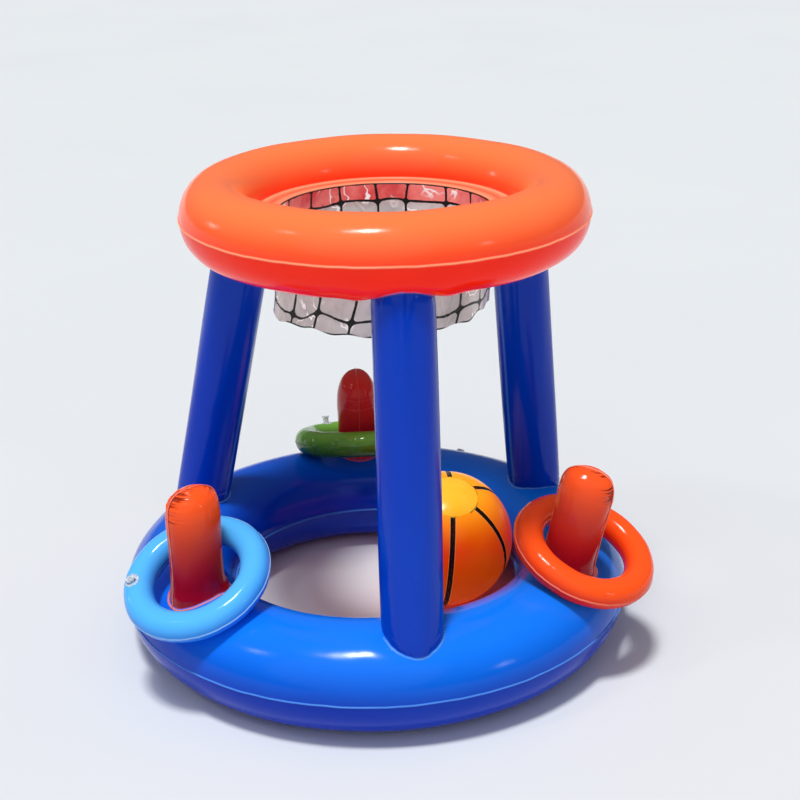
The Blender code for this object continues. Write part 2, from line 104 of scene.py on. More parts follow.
# %% [markdown]
# ## Writing shaders as sums
#
# A film's finish is mostly arithmetic on a few patterns: how far a point is from a weld, how bright
# a soft noise is there. The nodes could be wired one by one, but a sum of ten nodes is hard to read
# that way. The class below wraps one socket, so that such a sum can be written as a sum and each
# operator adds its Math node. Everything else, such as a noise or a colour mix, comes from the one
# method called node.

# %% Signals and paints
class Signal:
    """A socket that can be added, multiplied and compared."""

    def __init__(self, paint, socket):
        self.paint = paint
        self.socket = socket

    def math(self, operation, *others, swapped=False, clamp=False):
        values = (*others, self) if swapped else (self, *others)
        settings = {"operation": operation, "use_clamp": clamp}
        return self.paint.node("ShaderNodeMath", settings, dict(enumerate(values)))

    def __add__(self, other):
        return self.math("ADD", other)

    def __sub__(self, other):
        return self.math("SUBTRACT", other)

    def __rsub__(self, other):
        return self.math("SUBTRACT", other, swapped=True)

    def __mul__(self, other):
        return self.math("MULTIPLY", other)

    __radd__ = __add__
    __rmul__ = __mul__

    def within(self, low, high):
        """0 up to low, 1 from high on, and a smooth rise between; low may be the larger."""
        sockets = {"Value": self, "From Min": low, "From Max": high}
        return self.paint.node("ShaderNodeMapRange", {"interpolation_type": "SMOOTHSTEP"}, sockets)


class Paint:
    """A material being written, around one Principled shader; the world is written the same way."""

    def __init__(self, name, kind="materials", shader="Principled BSDF", **constants):
        self.owner = getattr(bpy.data, kind).new(name)
        self.owner.use_nodes = True
        self.tree = self.owner.node_tree
        self.shader = self.tree.nodes[shader]
        self.finish(**constants)

    def feed(self, node, sockets):
        for key, value in sockets.items():
            if isinstance(value, Signal):
                self.tree.links.new(value.socket, node.inputs[key])
            else:
                node.inputs[key].default_value = value

    def node(self, kind, settings=(), sockets=(), output=0):
        made = self.tree.nodes.new(kind)
        for key, value in dict(settings).items():
            setattr(made, key, value)
        self.feed(made, dict(sockets))
        return Signal(self, made.outputs[output])

    def attribute(self, name):
        """A number that the mesh carries at its points."""
        return self.node("ShaderNodeAttribute", {"attribute_name": name}, output="Fac")

    def noise(self, scale, detail=3.0, roughness=0.5, place=None):
        sockets = {"Scale": scale, "Detail": detail, "Roughness": roughness}
        sockets["Vector"] = place or self.node("ShaderNodeTexCoord", output="Object")
        return self.node("ShaderNodeTexNoise", sockets=sockets)

    def moved(self, far):
        """The place on the object, shifted, for a noise that doesn't repeat another one."""
        place = self.node("ShaderNodeTexCoord", output="Object")
        return self.node("ShaderNodeVectorMath", {"operation": "ADD"}, {0: place, 1: (far, far, far)})

    def mix(self, factor, first, second):
        sockets = {"Factor": factor, 6: first, 7: second}
        return self.node("ShaderNodeMix", {"data_type": "RGBA"}, sockets, output=2)

    def bump(self, height, distance, strength=1.0, under=None):
        sockets = {"Height": height, "Distance": distance, "Strength": strength}
        if under:
            sockets["Normal"] = under
        return self.node("ShaderNodeBump", sockets=sockets)

    def finish(self, **sockets):
        self.feed(self.shader, {key.replace("_", " "): value for key, value in sockets.items()})
        return self.owner


def rgb(red, green, blue):
    """A colour as a paint chart writes it, from 0 to 255, as the linear numbers that a shader uses."""
    def linear(value):
        share = value / 255
        return share / 12.92 if share <= 0.04045 else ((share + 0.055) / 1.055) ** 2.4

    return (linear(red), linear(green), linear(blue), 1.0)


print("paints ready")

# %% [markdown]
# ## The vinyl film
#
# Pool film is a soft glossy vinyl, about 0.4 mm thick. It is dyed right through, so its colour is
# even, but a broad look shows slow random shifts, a fine orange-peel, a few smudges that dull the
# gloss, and paler welds. Each of these is one line below. The meshes carry a few numbers. The one
# called weld is 1 on a weld and fades away from it; a weld's pale colour is partly the pressed
# film's own look and partly a painted highlight. Another number is painted light: it is high where
# a film is painted light, such as a ring's crest or a peg's top, and falls to 0 where it is painted
# in shade, such as a ring's underside. On the pegs a third number marks the sharp folds beside the
# weld, which are painted dark red as painted shade. Light also comes through a blown-up film from
# the far side; a weak glow in the film's own colour stands in for it. Each film could have a graph
# of its own, but they differ only in their three colours (lit, welded and shaded) and in their
# gloss, so one recipe makes them all.

# %% One recipe for all films
gloss_level = 0.18
# Dark red of the painted shade in the pegs' sharp folds
crease_shade_colour = rgb(104, 8, 6)
peel_height, dimple_height = 0.00004, 0.0006


def vinyl(name, colour, weld_colour, deep, glow=0.0, gloss=0.13, alpha=1.0, mirror=gloss_level):
    paint = Paint(name, IOR=1.5, Specular_IOR_Level=mirror, Alpha=alpha, Emission_Strength=glow)
    slow = paint.noise(4.0, 2.0)
    # Painted light: the lit colour where the film is painted light, the shaded colour where it is painted in
    # shade, with slow random shifts
    tone = paint.attribute("tone") + slow * 0.3 - 0.15
    painted_light_colour = paint.mix(tone.within(0.0, 1.0), deep, colour)
    weld = paint.attribute("weld")
    # Pale welds: partly the pressed film's own look, partly a painted highlight along the weld
    pale = paint.mix(weld * 0.7, painted_light_colour, weld_colour)
    # Painted shade: the sharp folds on the pegs are drawn dark red
    crease_shaded = paint.mix(paint.attribute("crease").within(0.0, 1.0) * 0.75, pale, crease_shade_colour)
    smudge = paint.noise(11.0, 5.0, 0.62).within(0.52, 0.74)
    dust = paint.noise(420.0, 2.0).within(0.66, 0.78) * 0.05
    dusty = paint.mix(dust, crease_shaded, weld_colour)
    peel = paint.noise(900.0, 2.0)
    fine = paint.bump(peel, peel_height, 0.35)
    soft = paint.bump(paint.noise(38.0, 2.0), dimple_height, 0.5, under=fine)
    rough = gloss + smudge * 0.10 + weld * 0.12 + paint.noise(60.0, 3.0) * 0.05
    return paint.finish(Base_Color=dusty, Roughness=rough, Normal=soft, Emission_Color=dusty)


# For each film: its lit colour, its weld colour, and its shaded colour for painted shade
films = {
    "royal_blue_film": vinyl("royal blue vinyl", rgb(16, 124, 252), rgb(96, 166, 250), rgb(0, 50, 182)),
    "orange_film": vinyl(
        "orange vinyl", rgb(255, 122, 68), rgb(255, 182, 140), rgb(255, 28, 4), glow=0.14
    ),
    "red_film": vinyl("red vinyl", rgb(255, 90, 34), rgb(255, 150, 130), rgb(164, 10, 34), glow=0.10),
    "light_blue_film": vinyl(
        "light blue vinyl", rgb(84, 184, 255), rgb(170, 220, 255), rgb(30, 120, 235), glow=0.04
    ),
    "orange_red_film": vinyl(
        "orange red vinyl", rgb(255, 86, 28), rgb(255, 150, 120), rgb(220, 22, 4), glow=0.10
    ),
    "green_film": vinyl(
        "green vinyl", rgb(116, 180, 66), rgb(100, 156, 58), rgb(40, 88, 18),
        gloss=0.09, alpha=0.9, mirror=0.34,
    ),
}
print("films:", ", ".join(films))

# %% [markdown]
# ## From a grid of points to a film
#
# Every film here is first a grid of points, worked out with arrays, and then a mesh. The grid keeps
# the outside of the film, and a Solidify modifier gives it its thickness inwards. A torus or a
# cylinder from the Add menu could be bent into place instead, but its points couldn't crowd at the
# welds or carry numbers of their own. The helper also turns all faces outwards, by comparing them
# with points that are known to lie inside.

# %% Mesh helpers
film_thickness, thin_film = 0.0004, 0.0003
scene_objects = bpy.context.scene.collection.objects


def film(name, grid, inside, around=True, thickness=film_thickness, **attributes):
    """A film through a grid of points; around says that the first side of the grid closes on itself."""
    rows, columns, _ = grid.shape
    index = np.arange(rows * columns).reshape(rows, columns)
    nearer = index if around else index[:-1]
    farther = np.roll(index, -1, 0) if around else index[1:]
    quads = np.stack([nearer[:, :-1], farther[:, :-1], farther[:, 1:], nearer[:, 1:]], -1).reshape(-1, 4)
    points = grid.reshape(-1, 3)
    away = points[quads[:, 0]] - np.broadcast_to(inside, grid.shape).reshape(-1, 3)[quads[:, 0]]
    facing = np.cross(points[quads[:, 2]] - points[quads[:, 0]], points[quads[:, 3]] - points[quads[:, 1]])
    if (facing * away).sum() < 0:
        quads = quads[:, ::-1]
    mesh = bpy.data.meshes.new(name)
    mesh.from_pydata(points.tolist(), [], quads.tolist())
    for key, values in attributes.items():
        layer = mesh.attributes.new(key, "FLOAT", "POINT")
        layer.data.foreach_set("value", np.broadcast_to(values, grid.shape[:2]).astype(np.float32).ravel())
    welder = bmesh.new()
    welder.from_mesh(mesh)
    bmesh.ops.remove_doubles(welder, verts=welder.verts, dist=1e-6)
    welder.to_mesh(mesh)
    welder.free()
    mesh.shade_smooth()
    made = bpy.data.objects.new(name, mesh)
    scene_objects.link(made)
    solidify = made.modifiers.new("Film thickness", "SOLIDIFY")
    solidify.thickness = thickness
    solidify.offset = -1.0
    return made


def dress(made, body, slot, *nodes):
    """The piece gets its finish, rides on its body and stands for its solids."""
    made.data.materials.append(films[slot])
    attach(made, body)
    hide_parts(*nodes)
    return made


def puckers(around, along, seed, count, depth, reach, narrow, zone=None):
    """Small folds that start at a weld; around runs from 0 to 1 along it, and along is the way off it."""
    rng = np.random.default_rng(seed)
    field = np.zeros(np.broadcast(around, along).shape)
    for _ in range(count):
        centre = rng.uniform(*(zone or (0.0, 1.0)))
        width = narrow * rng.uniform(0.6, 1.6)
        length = reach * rng.uniform(0.35, 1.3)
        slant = rng.uniform(-0.5, 0.5) * width / length
        offset = (around + slant * along - centre + 0.5) % 1.0 - 0.5
        field += rng.uniform(0.3, 1.0) * np.exp(-(offset / width) ** 2 - (along / length) ** 2)
    return -depth * field


print("helpers ready")

# %% [markdown]
# ## Rings measured from the frame
#
# A ring's solid is the same all the way round, so the mean of its corners lies on its axis, and the
# direction in which they spread least is the axis. The corners farthest from the axis lie on the
# outer weld. The class below measures these, so each film sits where its solid does. It also
# answers how far a point is from the film's skin, which is how the legs, the pegs and the valves
# later find the line on which they land. The weld's flat rim is drawn narrower than the solid's,
# because it looks narrow in the photograph. The rows of points lie closer together beside a weld,
# where the small folds start. A ring is painted lighter on its crest and deeper underneath, and it
# can carry painted shade towards one side, where its pale weld fades too.

# %% Corners and directions
def corners_of(node):
    """The different corners of a solid; its mesh repeats a corner on each face."""
    corners = np.array([corner.co for corner in frame["nodes"][node].data.vertices])
    return np.unique(corners.round(6), axis=0)


def unit(vector):
    return vector / np.linalg.norm(vector, axis=-1, keepdims=True)


def square_to(axis, vector):
    """The direction square to the axis that is nearest to the vector."""
    return unit(vector - (vector @ axis)[..., None] * axis)


def full_turn(count):
    """Angles all the way round, one to a row."""
    return np.linspace(0, 2 * np.pi, count, endpoint=False)[:, None]


def bell(distance, width):
    """1 at no distance, and nearly nothing from two widths on."""
    return np.exp(-((distance / width) ** 2))


print("base ring's lower film has", len(corners_of("base_ring_lower_film")), "corners")

# %% A ring
weld_shown, weld_fade, weld_gap = 0.36, 0.0007, 0.0001
rows_at_weld, first_free_row = np.array([0.0, 0.0003, 0.0008, 0.0015]), 0.0025
outer_fold_step, inner_fold_step = 0.013, 0.03
fold_width, fold_reach = 0.0026, 0.013
painted_shade_direction = 2.0


class Ring:
    """A welded tube bent into a ring, measured from the solid of its lower film."""

    def __init__(self, node, tube_width, tube_height, outer_weld, inner_weld, wave, seed):
        corners = corners_of(node)
        middle = corners.mean(0)
        axis = np.linalg.svd(corners - middle, full_matrices=False)[2][2]
        along = (corners - middle) @ axis
        reach = np.linalg.norm(corners - middle - along[:, None] * axis, axis=1)
        rim = along[reach > 0.9995 * reach.max()]
        axis, level = axis * np.sign(rim.mean()), abs(rim.mean())
        self.centre = middle + axis * level
        first = square_to(axis, np.array([1.0, 0.0, 0.0]))
        self.axes = np.array([first, np.cross(axis, first), axis])
        self.a, self.b = tube_width / 2, tube_height / 2
        self.outer_weld, self.inner_weld = outer_weld, inner_weld
        self.radius = reach.max() - outer_weld - self.a
        self.floor = -1.0
        # Painted shade that the ring carries towards one side
        self.painted_shade = 0.0
        # Painted light levels: at the equator, added towards the crest, and on the underside
        self.painted_light_levels = (0.30, 0.70, 0.16)
        self.wave = wave
        self.dents = []
        self.rng = np.random.default_rng(seed)
        self.phases = self.rng.uniform(0, 2 * np.pi, 8)

    def place(self, around, rho, height):
        """Points in the world from the ring's own angle, distance from its axis and height."""
        local = np.stack(np.broadcast_arrays(rho * np.cos(around), rho * np.sin(around), height), -1)
        return self.centre + local @ self.axes

    def swell(self, points, around, over):
        """How far the skin stands out of the plain tube: slow waves, and dents at what is welded to it."""
        p = self.phases
        total = self.wave * (
            np.sin(2 * around + p[0]) * np.cos(over + p[1])
            + 0.7 * np.sin(5 * around + p[2]) * np.sin(over)
            + 0.5 * np.sin(11 * around + p[3] + over)
        )
        for spot, depth, reach, rim in self.dents:
            distance = np.linalg.norm(points - spot, axis=-1)
            total = total - depth * bell(distance, reach)
            total = total + rim * bell(distance - 1.5 * reach, 0.4 * reach)
        return total

    def clearance(self, points):
        """The distance from points to the skin; it is negative inside."""
        local = (points - self.centre) @ self.axes.T
        around = np.arctan2(local[..., 1], local[..., 0])
        rho = np.hypot(local[..., 0], local[..., 1]) - self.radius
        over = np.arctan2(local[..., 2] / self.b, rho / self.a)
        size = np.hypot(rho / self.a, local[..., 2] / self.b)
        return (size - 1) * (self.a + self.b) / 2 - self.swell(points, around, over)

    def seam_wave(self, around):
        """The outer weld isn't quite level: short waves of less than a millimetre."""
        waves = [(13, 0.5), (29, 0.4), (47, 0.3), (71, 0.2)]
        pairs = zip(waves, self.phases[4:])
        return sum(size * np.sin(count * around + phase) for (count, size), phase in pairs)

    def film_grid(self, side, columns, rows, fold_depth, seam_size, inner_folds):
        """The upper (side 1) or lower (side -1) film, with its welds, its folds and its weld mask."""
        around = full_turn(columns)
        start, first = rows_at_weld / self.a, first_free_row / self.a
        arc = np.concatenate([start, np.linspace(first, np.pi - first, rows), np.pi - start[::-1]])
        over = np.concatenate([[0, 0, 0], arc, [np.pi] * (3 if self.inner_weld else 0)])[None, :]
        flange = np.zeros(over.shape)
        flange[0, :3] = np.array([1.0, 0.6, 0.2]) * self.outer_weld * weld_shown
        if self.inner_weld:
            flange[0, -3:] = -np.array([0.1, 0.5, 1.0]) * self.inner_weld
        turn = over * side
        outer_distance, inner_distance = self.a * over, self.a * (np.pi - over)
        plain = self.place(around, self.radius + self.a * np.cos(turn), self.b * np.sin(turn))
        lift = self.swell(plain, around, turn)
        share = around / (2 * np.pi)
        seed = int(self.rng.integers(1 << 30))
        length = 2 * np.pi * (self.radius + self.a)
        fold = dict(narrow=fold_width / length, reach=fold_reach)
        outer_count, inner_count = int(length / outer_fold_step), int(length / inner_fold_step)
        lift = lift + puckers(share, outer_distance, seed, outer_count, fold_depth, **fold)
        lift = lift + puckers(share, inner_distance, seed + 1, inner_count, inner_folds, **fold)
        settle = np.sin(over) ** 0.5
        normal = unit(np.stack([np.cos(turn) / self.a, np.sin(turn) / self.b], -1))
        wave = seam_size * self.seam_wave(around) * np.exp(-outer_distance / 0.012)
        rho = self.radius + self.a * np.cos(turn) + normal[..., 0] * lift * settle + flange
        height = self.b * np.sin(turn) + normal[..., 1] * lift * settle
        height = height + side * (film_thickness + weld_gap) + wave
        height = np.maximum(height, self.floor)
        near = np.minimum(outer_distance, inner_distance if self.inner_weld else 1.0)
        weld = np.where(flange != 0, 1.0, bell(near, weld_fade))
        edge = np.where(flange < 0, 0.25 + 0.75 * (np.abs(flange) > 0.98 * self.inner_weld), weld)
        weld = np.where(flange < -0.004, edge, weld)
        # Painted shade towards one side: the film is drawn deeper there and its pale weld fades
        painted_shade = self.painted_shade * (0.5 + 0.5 * np.cos(around - painted_shade_direction)) ** 2
        weld = weld * (1 - 0.8 * painted_shade)
        grid = self.place(around, rho, height)
        inside = self.place(around, np.full(rho.shape, self.radius), np.zeros(rho.shape))
        # Painted light: the upper film is lighter towards its crest, the lower film deeper underneath
        equator, crest, under = self.painted_light_levels
        tone = (equator + crest * np.sin(turn) if side > 0 else under * (1 + np.sin(turn))) + 0 * rho
        tone = tone - painted_shade
        return grid, inside, {"weld": weld + 0 * rho, "tone": tone}

    def make_film(
        self, name, side, body, slot, node, detail=(720, 57), folds=0.0004, seam=0.0004, inner=0.0
    ):
        grid, inside, numbers = self.film_grid(side, *detail, folds, seam, inner)
        return dress(film(name, grid, inside, **numbers), body, slot, node)


print("rows beside a weld, in mm:", (rows_at_weld * 1000).round(1))

# %% Measure the two large rings
base = Ring("base_ring_lower_film", 0.1282, 0.1164, 0.003, 0.003, 0.0004, 11)
hoop = Ring("hoop_lower_film", 0.0816, 0.0864, 0.003, 0.025, 0.0005, 23)
for name, ring in (("base", base), ("hoop", hoop)):
    print(name, "centre", ring.centre.round(4), "tube circle", round(float(ring.radius), 4))

# %% [markdown]
# ## Where the legs and the pegs are welded
#
# The leg sleeves and the peg panels stand on the base ring. A sleeve's solid has two rings of
# corners between its ends, and their middles lie on its axis. A peg's axis is the direction in
# which its toss ring lifts, through the middle of its top. Where a leg or a peg is welded to a
# ring, the ring's film is drawn in a little, and next to that it bulges. The skins could be joined
# by a Boolean, but real films only touch along a weld. So the line on which one film meets another
# is searched for, by halving, and each film ends there.

# %% Axes of the legs and the pegs
sleeve_end, sleeve_middle = 0.036, 0.05


def sleeve_axis(node):
    """The middle of a sleeve, and the direction of its axis."""
    corners = corners_of(node)
    middle = corners.mean(0)
    rough = np.linalg.svd(corners - middle, full_matrices=False)[2][0]
    rough = rough * np.sign(rough[2])
    along = (corners - middle) @ rough
    low, high = along.min() + sleeve_end, along.max() - sleeve_end
    first = corners[(along > low) & (along < -sleeve_middle)].mean(0)
    second = corners[(along > sleeve_middle) & (along < high)].mean(0)
    return (first + second) / 2, unit(second - first)


def peg_axis(name, joint):
    """The middle of a peg's top, and the direction of its axis."""
    axis = unit(np.array(joints[joint]["axis"]))
    corners = np.vstack([corners_of(f"peg_{name}_{half}_panel") for half in ("left", "right")])
    first = square_to(axis, corners.mean(0) - base.centre)
    sides = np.array([first, np.cross(axis, first), axis])
    spread = corners @ sides.T
    middle = (spread.min(0) + spread.max(0)) / 2
    middle[2] = spread[:, 2].max()
    return middle @ sides, axis


print("front leg's axis:", sleeve_axis("leg_front_sleeve")[1].round(3))


# %% Landing on a skin
def landing(clearance, start, heading, reach):
    """How far along each line from start the skin is met, by halving the stretch again and again."""
    near = np.zeros(start.shape[:-1])
    far = np.full(start.shape[:-1], reach)
    for _ in range(26):
        middle = (near + far) / 2
        outside = clearance(start + middle[..., None] * heading) > 0
        near, far = np.where(outside, middle, near), np.where(outside, far, middle)
    return near


def onto_skin(clearance, points, steps=5):
    """Moves points square to the skin until they lie on it."""
    for _ in range(steps):
        slope = np.stack([
            clearance(points + step) - clearance(points - step) for step in np.eye(3) * 0.0005
        ], -1)
        points = points - clearance(points)[..., None] * unit(slope)
    return points


above, down = base.centre + np.array([[base.radius, 0.0, 0.1]]), np.array([0.0, 0.0, -1.0])
print("way down to the base skin:", landing(base.clearance, above, down, 0.1).round(4))

# %% Places of the legs and the pegs, and the dents there
peg_weld = 0.003
leg_axes, peg_axes = {}, {}
for name in ("front", "back_left", "back_right"):
    middle, axis = sleeve_axis(f"leg_{name}_sleeve")
    to_foot = landing(base.clearance, middle[None], -axis, 0.25)[0]
    to_head = landing(hoop.clearance, middle[None], axis, 0.25)[0]
    foot, head = middle - axis * to_foot, middle + axis * to_head
    base.dents.append((foot, 0.0012, 0.034, 0.0007))
    hoop.dents.append((head, 0.0042, 0.031, 0.0022))
    leg_axes[name] = (foot, axis, to_foot + to_head)
    print("leg", name, "foot", foot.round(4), "length", round(float(to_foot + to_head), 3))
for name, colour in (("front_left", "blue"), ("front_right", "red"), ("back", "green")):
    top, axis = peg_axis(name, f"toss_{colour}_lift")
    height = landing(base.clearance, top[None], -axis, 0.2)[0]
    foot = top - axis * height
    base.dents.append((foot, 0.0010, 0.032, 0.0006))
    peg_axes[name] = (foot, axis, height - peg_weld)
    print("peg", name, "foot", foot.round(4), "height", round(float(height), 3))

# %% [markdown]
# ## The base ring and the hoop
#
# Both rings are an upper and a lower film, welded at the outer and the inner equator. The base ring
# rests on a flat band about 26 mm wide. Its far left side is painted deeper, as painted shade. The
# hoop's inner weld is a flat flange that carries the net. One class makes both rings, because they
# differ only in their sizes, their folds and the flange.

# %% Base ring and hoop
base.floor = -base.centre[2]
# Painted shade on the base ring's far left side
base.painted_shade = 0.6
for side, half in ((1, "upper"), (-1, "lower")):
    base.make_film(f"base_{half}_skin", side, "hoop_stand", "royal_blue_film", f"base_ring_{half}_film")
    hoop.make_film(
        f"hoop_{half}_skin", side, "hoop_stand", "orange_film", f"hoop_{half}_film",
        (640, 57), 0.0003, 0.0003, 0.0003,
    )
print("rings made")

# %% [markdown]
# ## The legs
#
# A leg is a film sleeve. At its foot the film turns outwards and is welded round to the base ring;
# just above the weld the blown-up sleeve swells over it, which gives the foot its rounded edge. The
# head is the same, the other way up. The sleeve closes with one lapped weld, on the side that faces
# the middle of the set. A cylinder cut off at the rings would end in sharp edges. Here each column
# of points lands on the rings' skins by itself, so the film can turn outwards there and lie on
# them.

# %% Three sleeves
# The legs are painted in shade: they get nearly the film's shaded colour all over
leg_radius, leg_tone = 0.033, 0.16
waist_share, end_rounding, lap_reach = 0.93, 0.011, 0.002
crease_height, crease_width, leg_weld_fade = 0.013, 0.0016, 0.0012
near_lip, far_lip, lip_lift = 0.0015, 0.0040, 0.0005


def hoop_underside(points):
    """The distance from points below the hoop to its tube or to its flange, whichever is nearer."""
    flange = -2 * film_thickness - (points - hoop.centre) @ hoop.axes[2]
    return np.minimum(hoop.clearance(points), flange)


def sleeve(name, columns=144, rows=150):
    foot, axis, length = leg_axes[name]
    first = square_to(axis, base.centre - foot)
    second = np.cross(axis, first)
    angle = full_turn(columns)
    across = np.cos(angle) * first + np.sin(angle) * second
    waist = waist_share * leg_radius
    reach = 0.08

    start = foot + across * waist
    low = reach - landing(base.clearance, start + axis * reach, -axis, 2 * reach)
    high = length - reach + landing(hoop_underside, start + axis * (length - reach), axis, 2 * reach)
    share = 0.5 - 0.5 * np.cos(np.pi * np.linspace(0, 1, rows))
    height = low[:, None] + (high - low)[:, None] * share
    from_foot, from_head = height - low[:, None], high[:, None] - height
    rise = np.clip(np.minimum(from_foot, from_head) / end_rounding, 0, 1)
    width = waist + (leg_radius - waist) * np.sqrt(1 - (1 - rise) ** 2)
    turn = angle / (2 * np.pi)
    rng = np.random.default_rng(sum(map(ord, name)))
    p = rng.uniform(0, 2 * np.pi, 4)
    width = width + 0.0004 * np.sin(3 * angle + p[0] + 9 * height)
    width = width + 0.0003 * np.sin(7 * angle + p[1] - 14 * height)
    width = width + np.sin(np.pi * share) * (0.0012 + 0.0006 * np.sin(11 * height + p[2]))
    seed = int(rng.integers(1 << 30))
    width = width + puckers(turn, from_foot, seed, count=18, depth=0.0007, reach=0.016, narrow=0.012)
    width = width + puckers(turn, from_head, seed + 1, count=22, depth=0.0009, reach=0.024, narrow=0.014)
    crease = bell(from_foot - crease_height, crease_width) * (0.6 + 0.4 * np.sin(2 * angle + p[3]))
    width = width - 0.0006 * crease
    lap = np.exp(-((np.minimum(turn, 1 - turn) * 2 * np.pi * leg_radius / lap_reach) ** 4))
    width = width + 0.00035 * lap
    weld = np.maximum(0.5 * lap, bell(np.minimum(from_foot, from_head), leg_weld_fade))
    grid = foot + across[:, None, :] * width[..., None] + axis * height[..., None]

    # The flanges: the film turns outwards and lies on the ring
    edges = {}
    for clearance, row in ((base.clearance, 0), (hoop_underside, -1)):
        for out in (near_lip, far_lip):
            lip = onto_skin(clearance, grid[:, row] + across * out)
            raised = across * 0.0002 + axis * (lip_lift if row == 0 else -lip_lift)
            edges[row, out] = (lip + raised)[:, None]
    grid = np.hstack([edges[0, far_lip], edges[0, near_lip], grid, edges[-1, near_lip], edges[-1, far_lip]])
    flat = np.ones((columns, 2))
    weld = np.hstack([flat, weld, flat])
    along = (grid - foot) @ axis
    inside = foot + axis * np.clip(along, low.max() + 0.02, high.min() - 0.02)[..., None]
    made = film(f"leg_{name}_skin", grid, inside, weld=weld, tone=leg_tone)
    return dress(made, "hoop_stand", "royal_blue_film", f"leg_{name}_sleeve")


for name in leg_axes:
    sleeve(name)
print("legs made")

# %% [markdown]
# ## The pegs
#
# A peg is two panels, welded along both sides and over the top in one flat seam, and welded round
# at the foot. A capsule would have the size, but no side weld and no gathers, so each panel is a
# grid: across the panel from one side weld to the other, and from the foot upwards. The width and
# the depth change with the height along smooth curves, and at the foot the outer side flares less
# than the inner one. The blown-up film gathers most at the outer corner of the top, so folds are
# spread there along the weld, at steps measured along its outline. A peg is painted lighter towards
# its top, as painted light, and it is given how much of that it gets and how pale its weld looks.

# %% A peg's outline
peg_width, peg_depth, panel_gap = 0.060, 0.051, 0.0005
flare_zone, straight_width, outer_flare = 0.25, 0.985, 0.35
gather_depth, sharp_depth = 0.0036, 0.0016
peg_rows = [
    (-0.12, 1.25, 1.14), (0.0, 1.20, 1.12), (0.045, 1.10, 1.08), (0.10, 1.02, 1.04), (0.25, 0.985, 1.01),
    (0.45, 0.99, 1.00), (0.62, 1.01, 1.02), (0.75, 1.02, 0.99), (0.83, 1.00, 0.92), (0.89, 0.93, 0.82),
    (0.94, 0.80, 0.67), (0.975, 0.58, 0.45), (0.993, 0.36, 0.24), (1.0, 0.0, 0.0),
]
row_places, row_widths, row_depths = zip(*peg_rows)


def smooth_curve(places, values, at):
    """A curve through the values that doesn't overshoot."""
    places, values = np.array(places), np.array(values)
    slope = np.diff(values) / np.diff(places)
    tangent = np.zeros(len(values))
    same = slope[1:] * slope[:-1] > 0
    tangent[1:-1][same] = 2 / (1 / slope[1:][same] + 1 / slope[:-1][same])
    tangent[0], tangent[-1] = slope[0], slope[-1]
    at = np.clip(at, places[0], places[-1])
    i = np.clip(np.searchsorted(places, at) - 1, 0, len(places) - 2)
    step = places[i + 1] - places[i]
    t = (at - places[i]) / step
    return (
        values[i] * (1 + 2 * t) * (1 - t) ** 2 + values[i + 1] * t * t * (3 - 2 * t)
        + step * (tangent[i] * t * (1 - t) ** 2 + tangent[i + 1] * t * t * (t - 1))
    )


print("a peg is about", 1000 * peg_width, "mm wide and", 1000 * peg_depth, "mm deep")


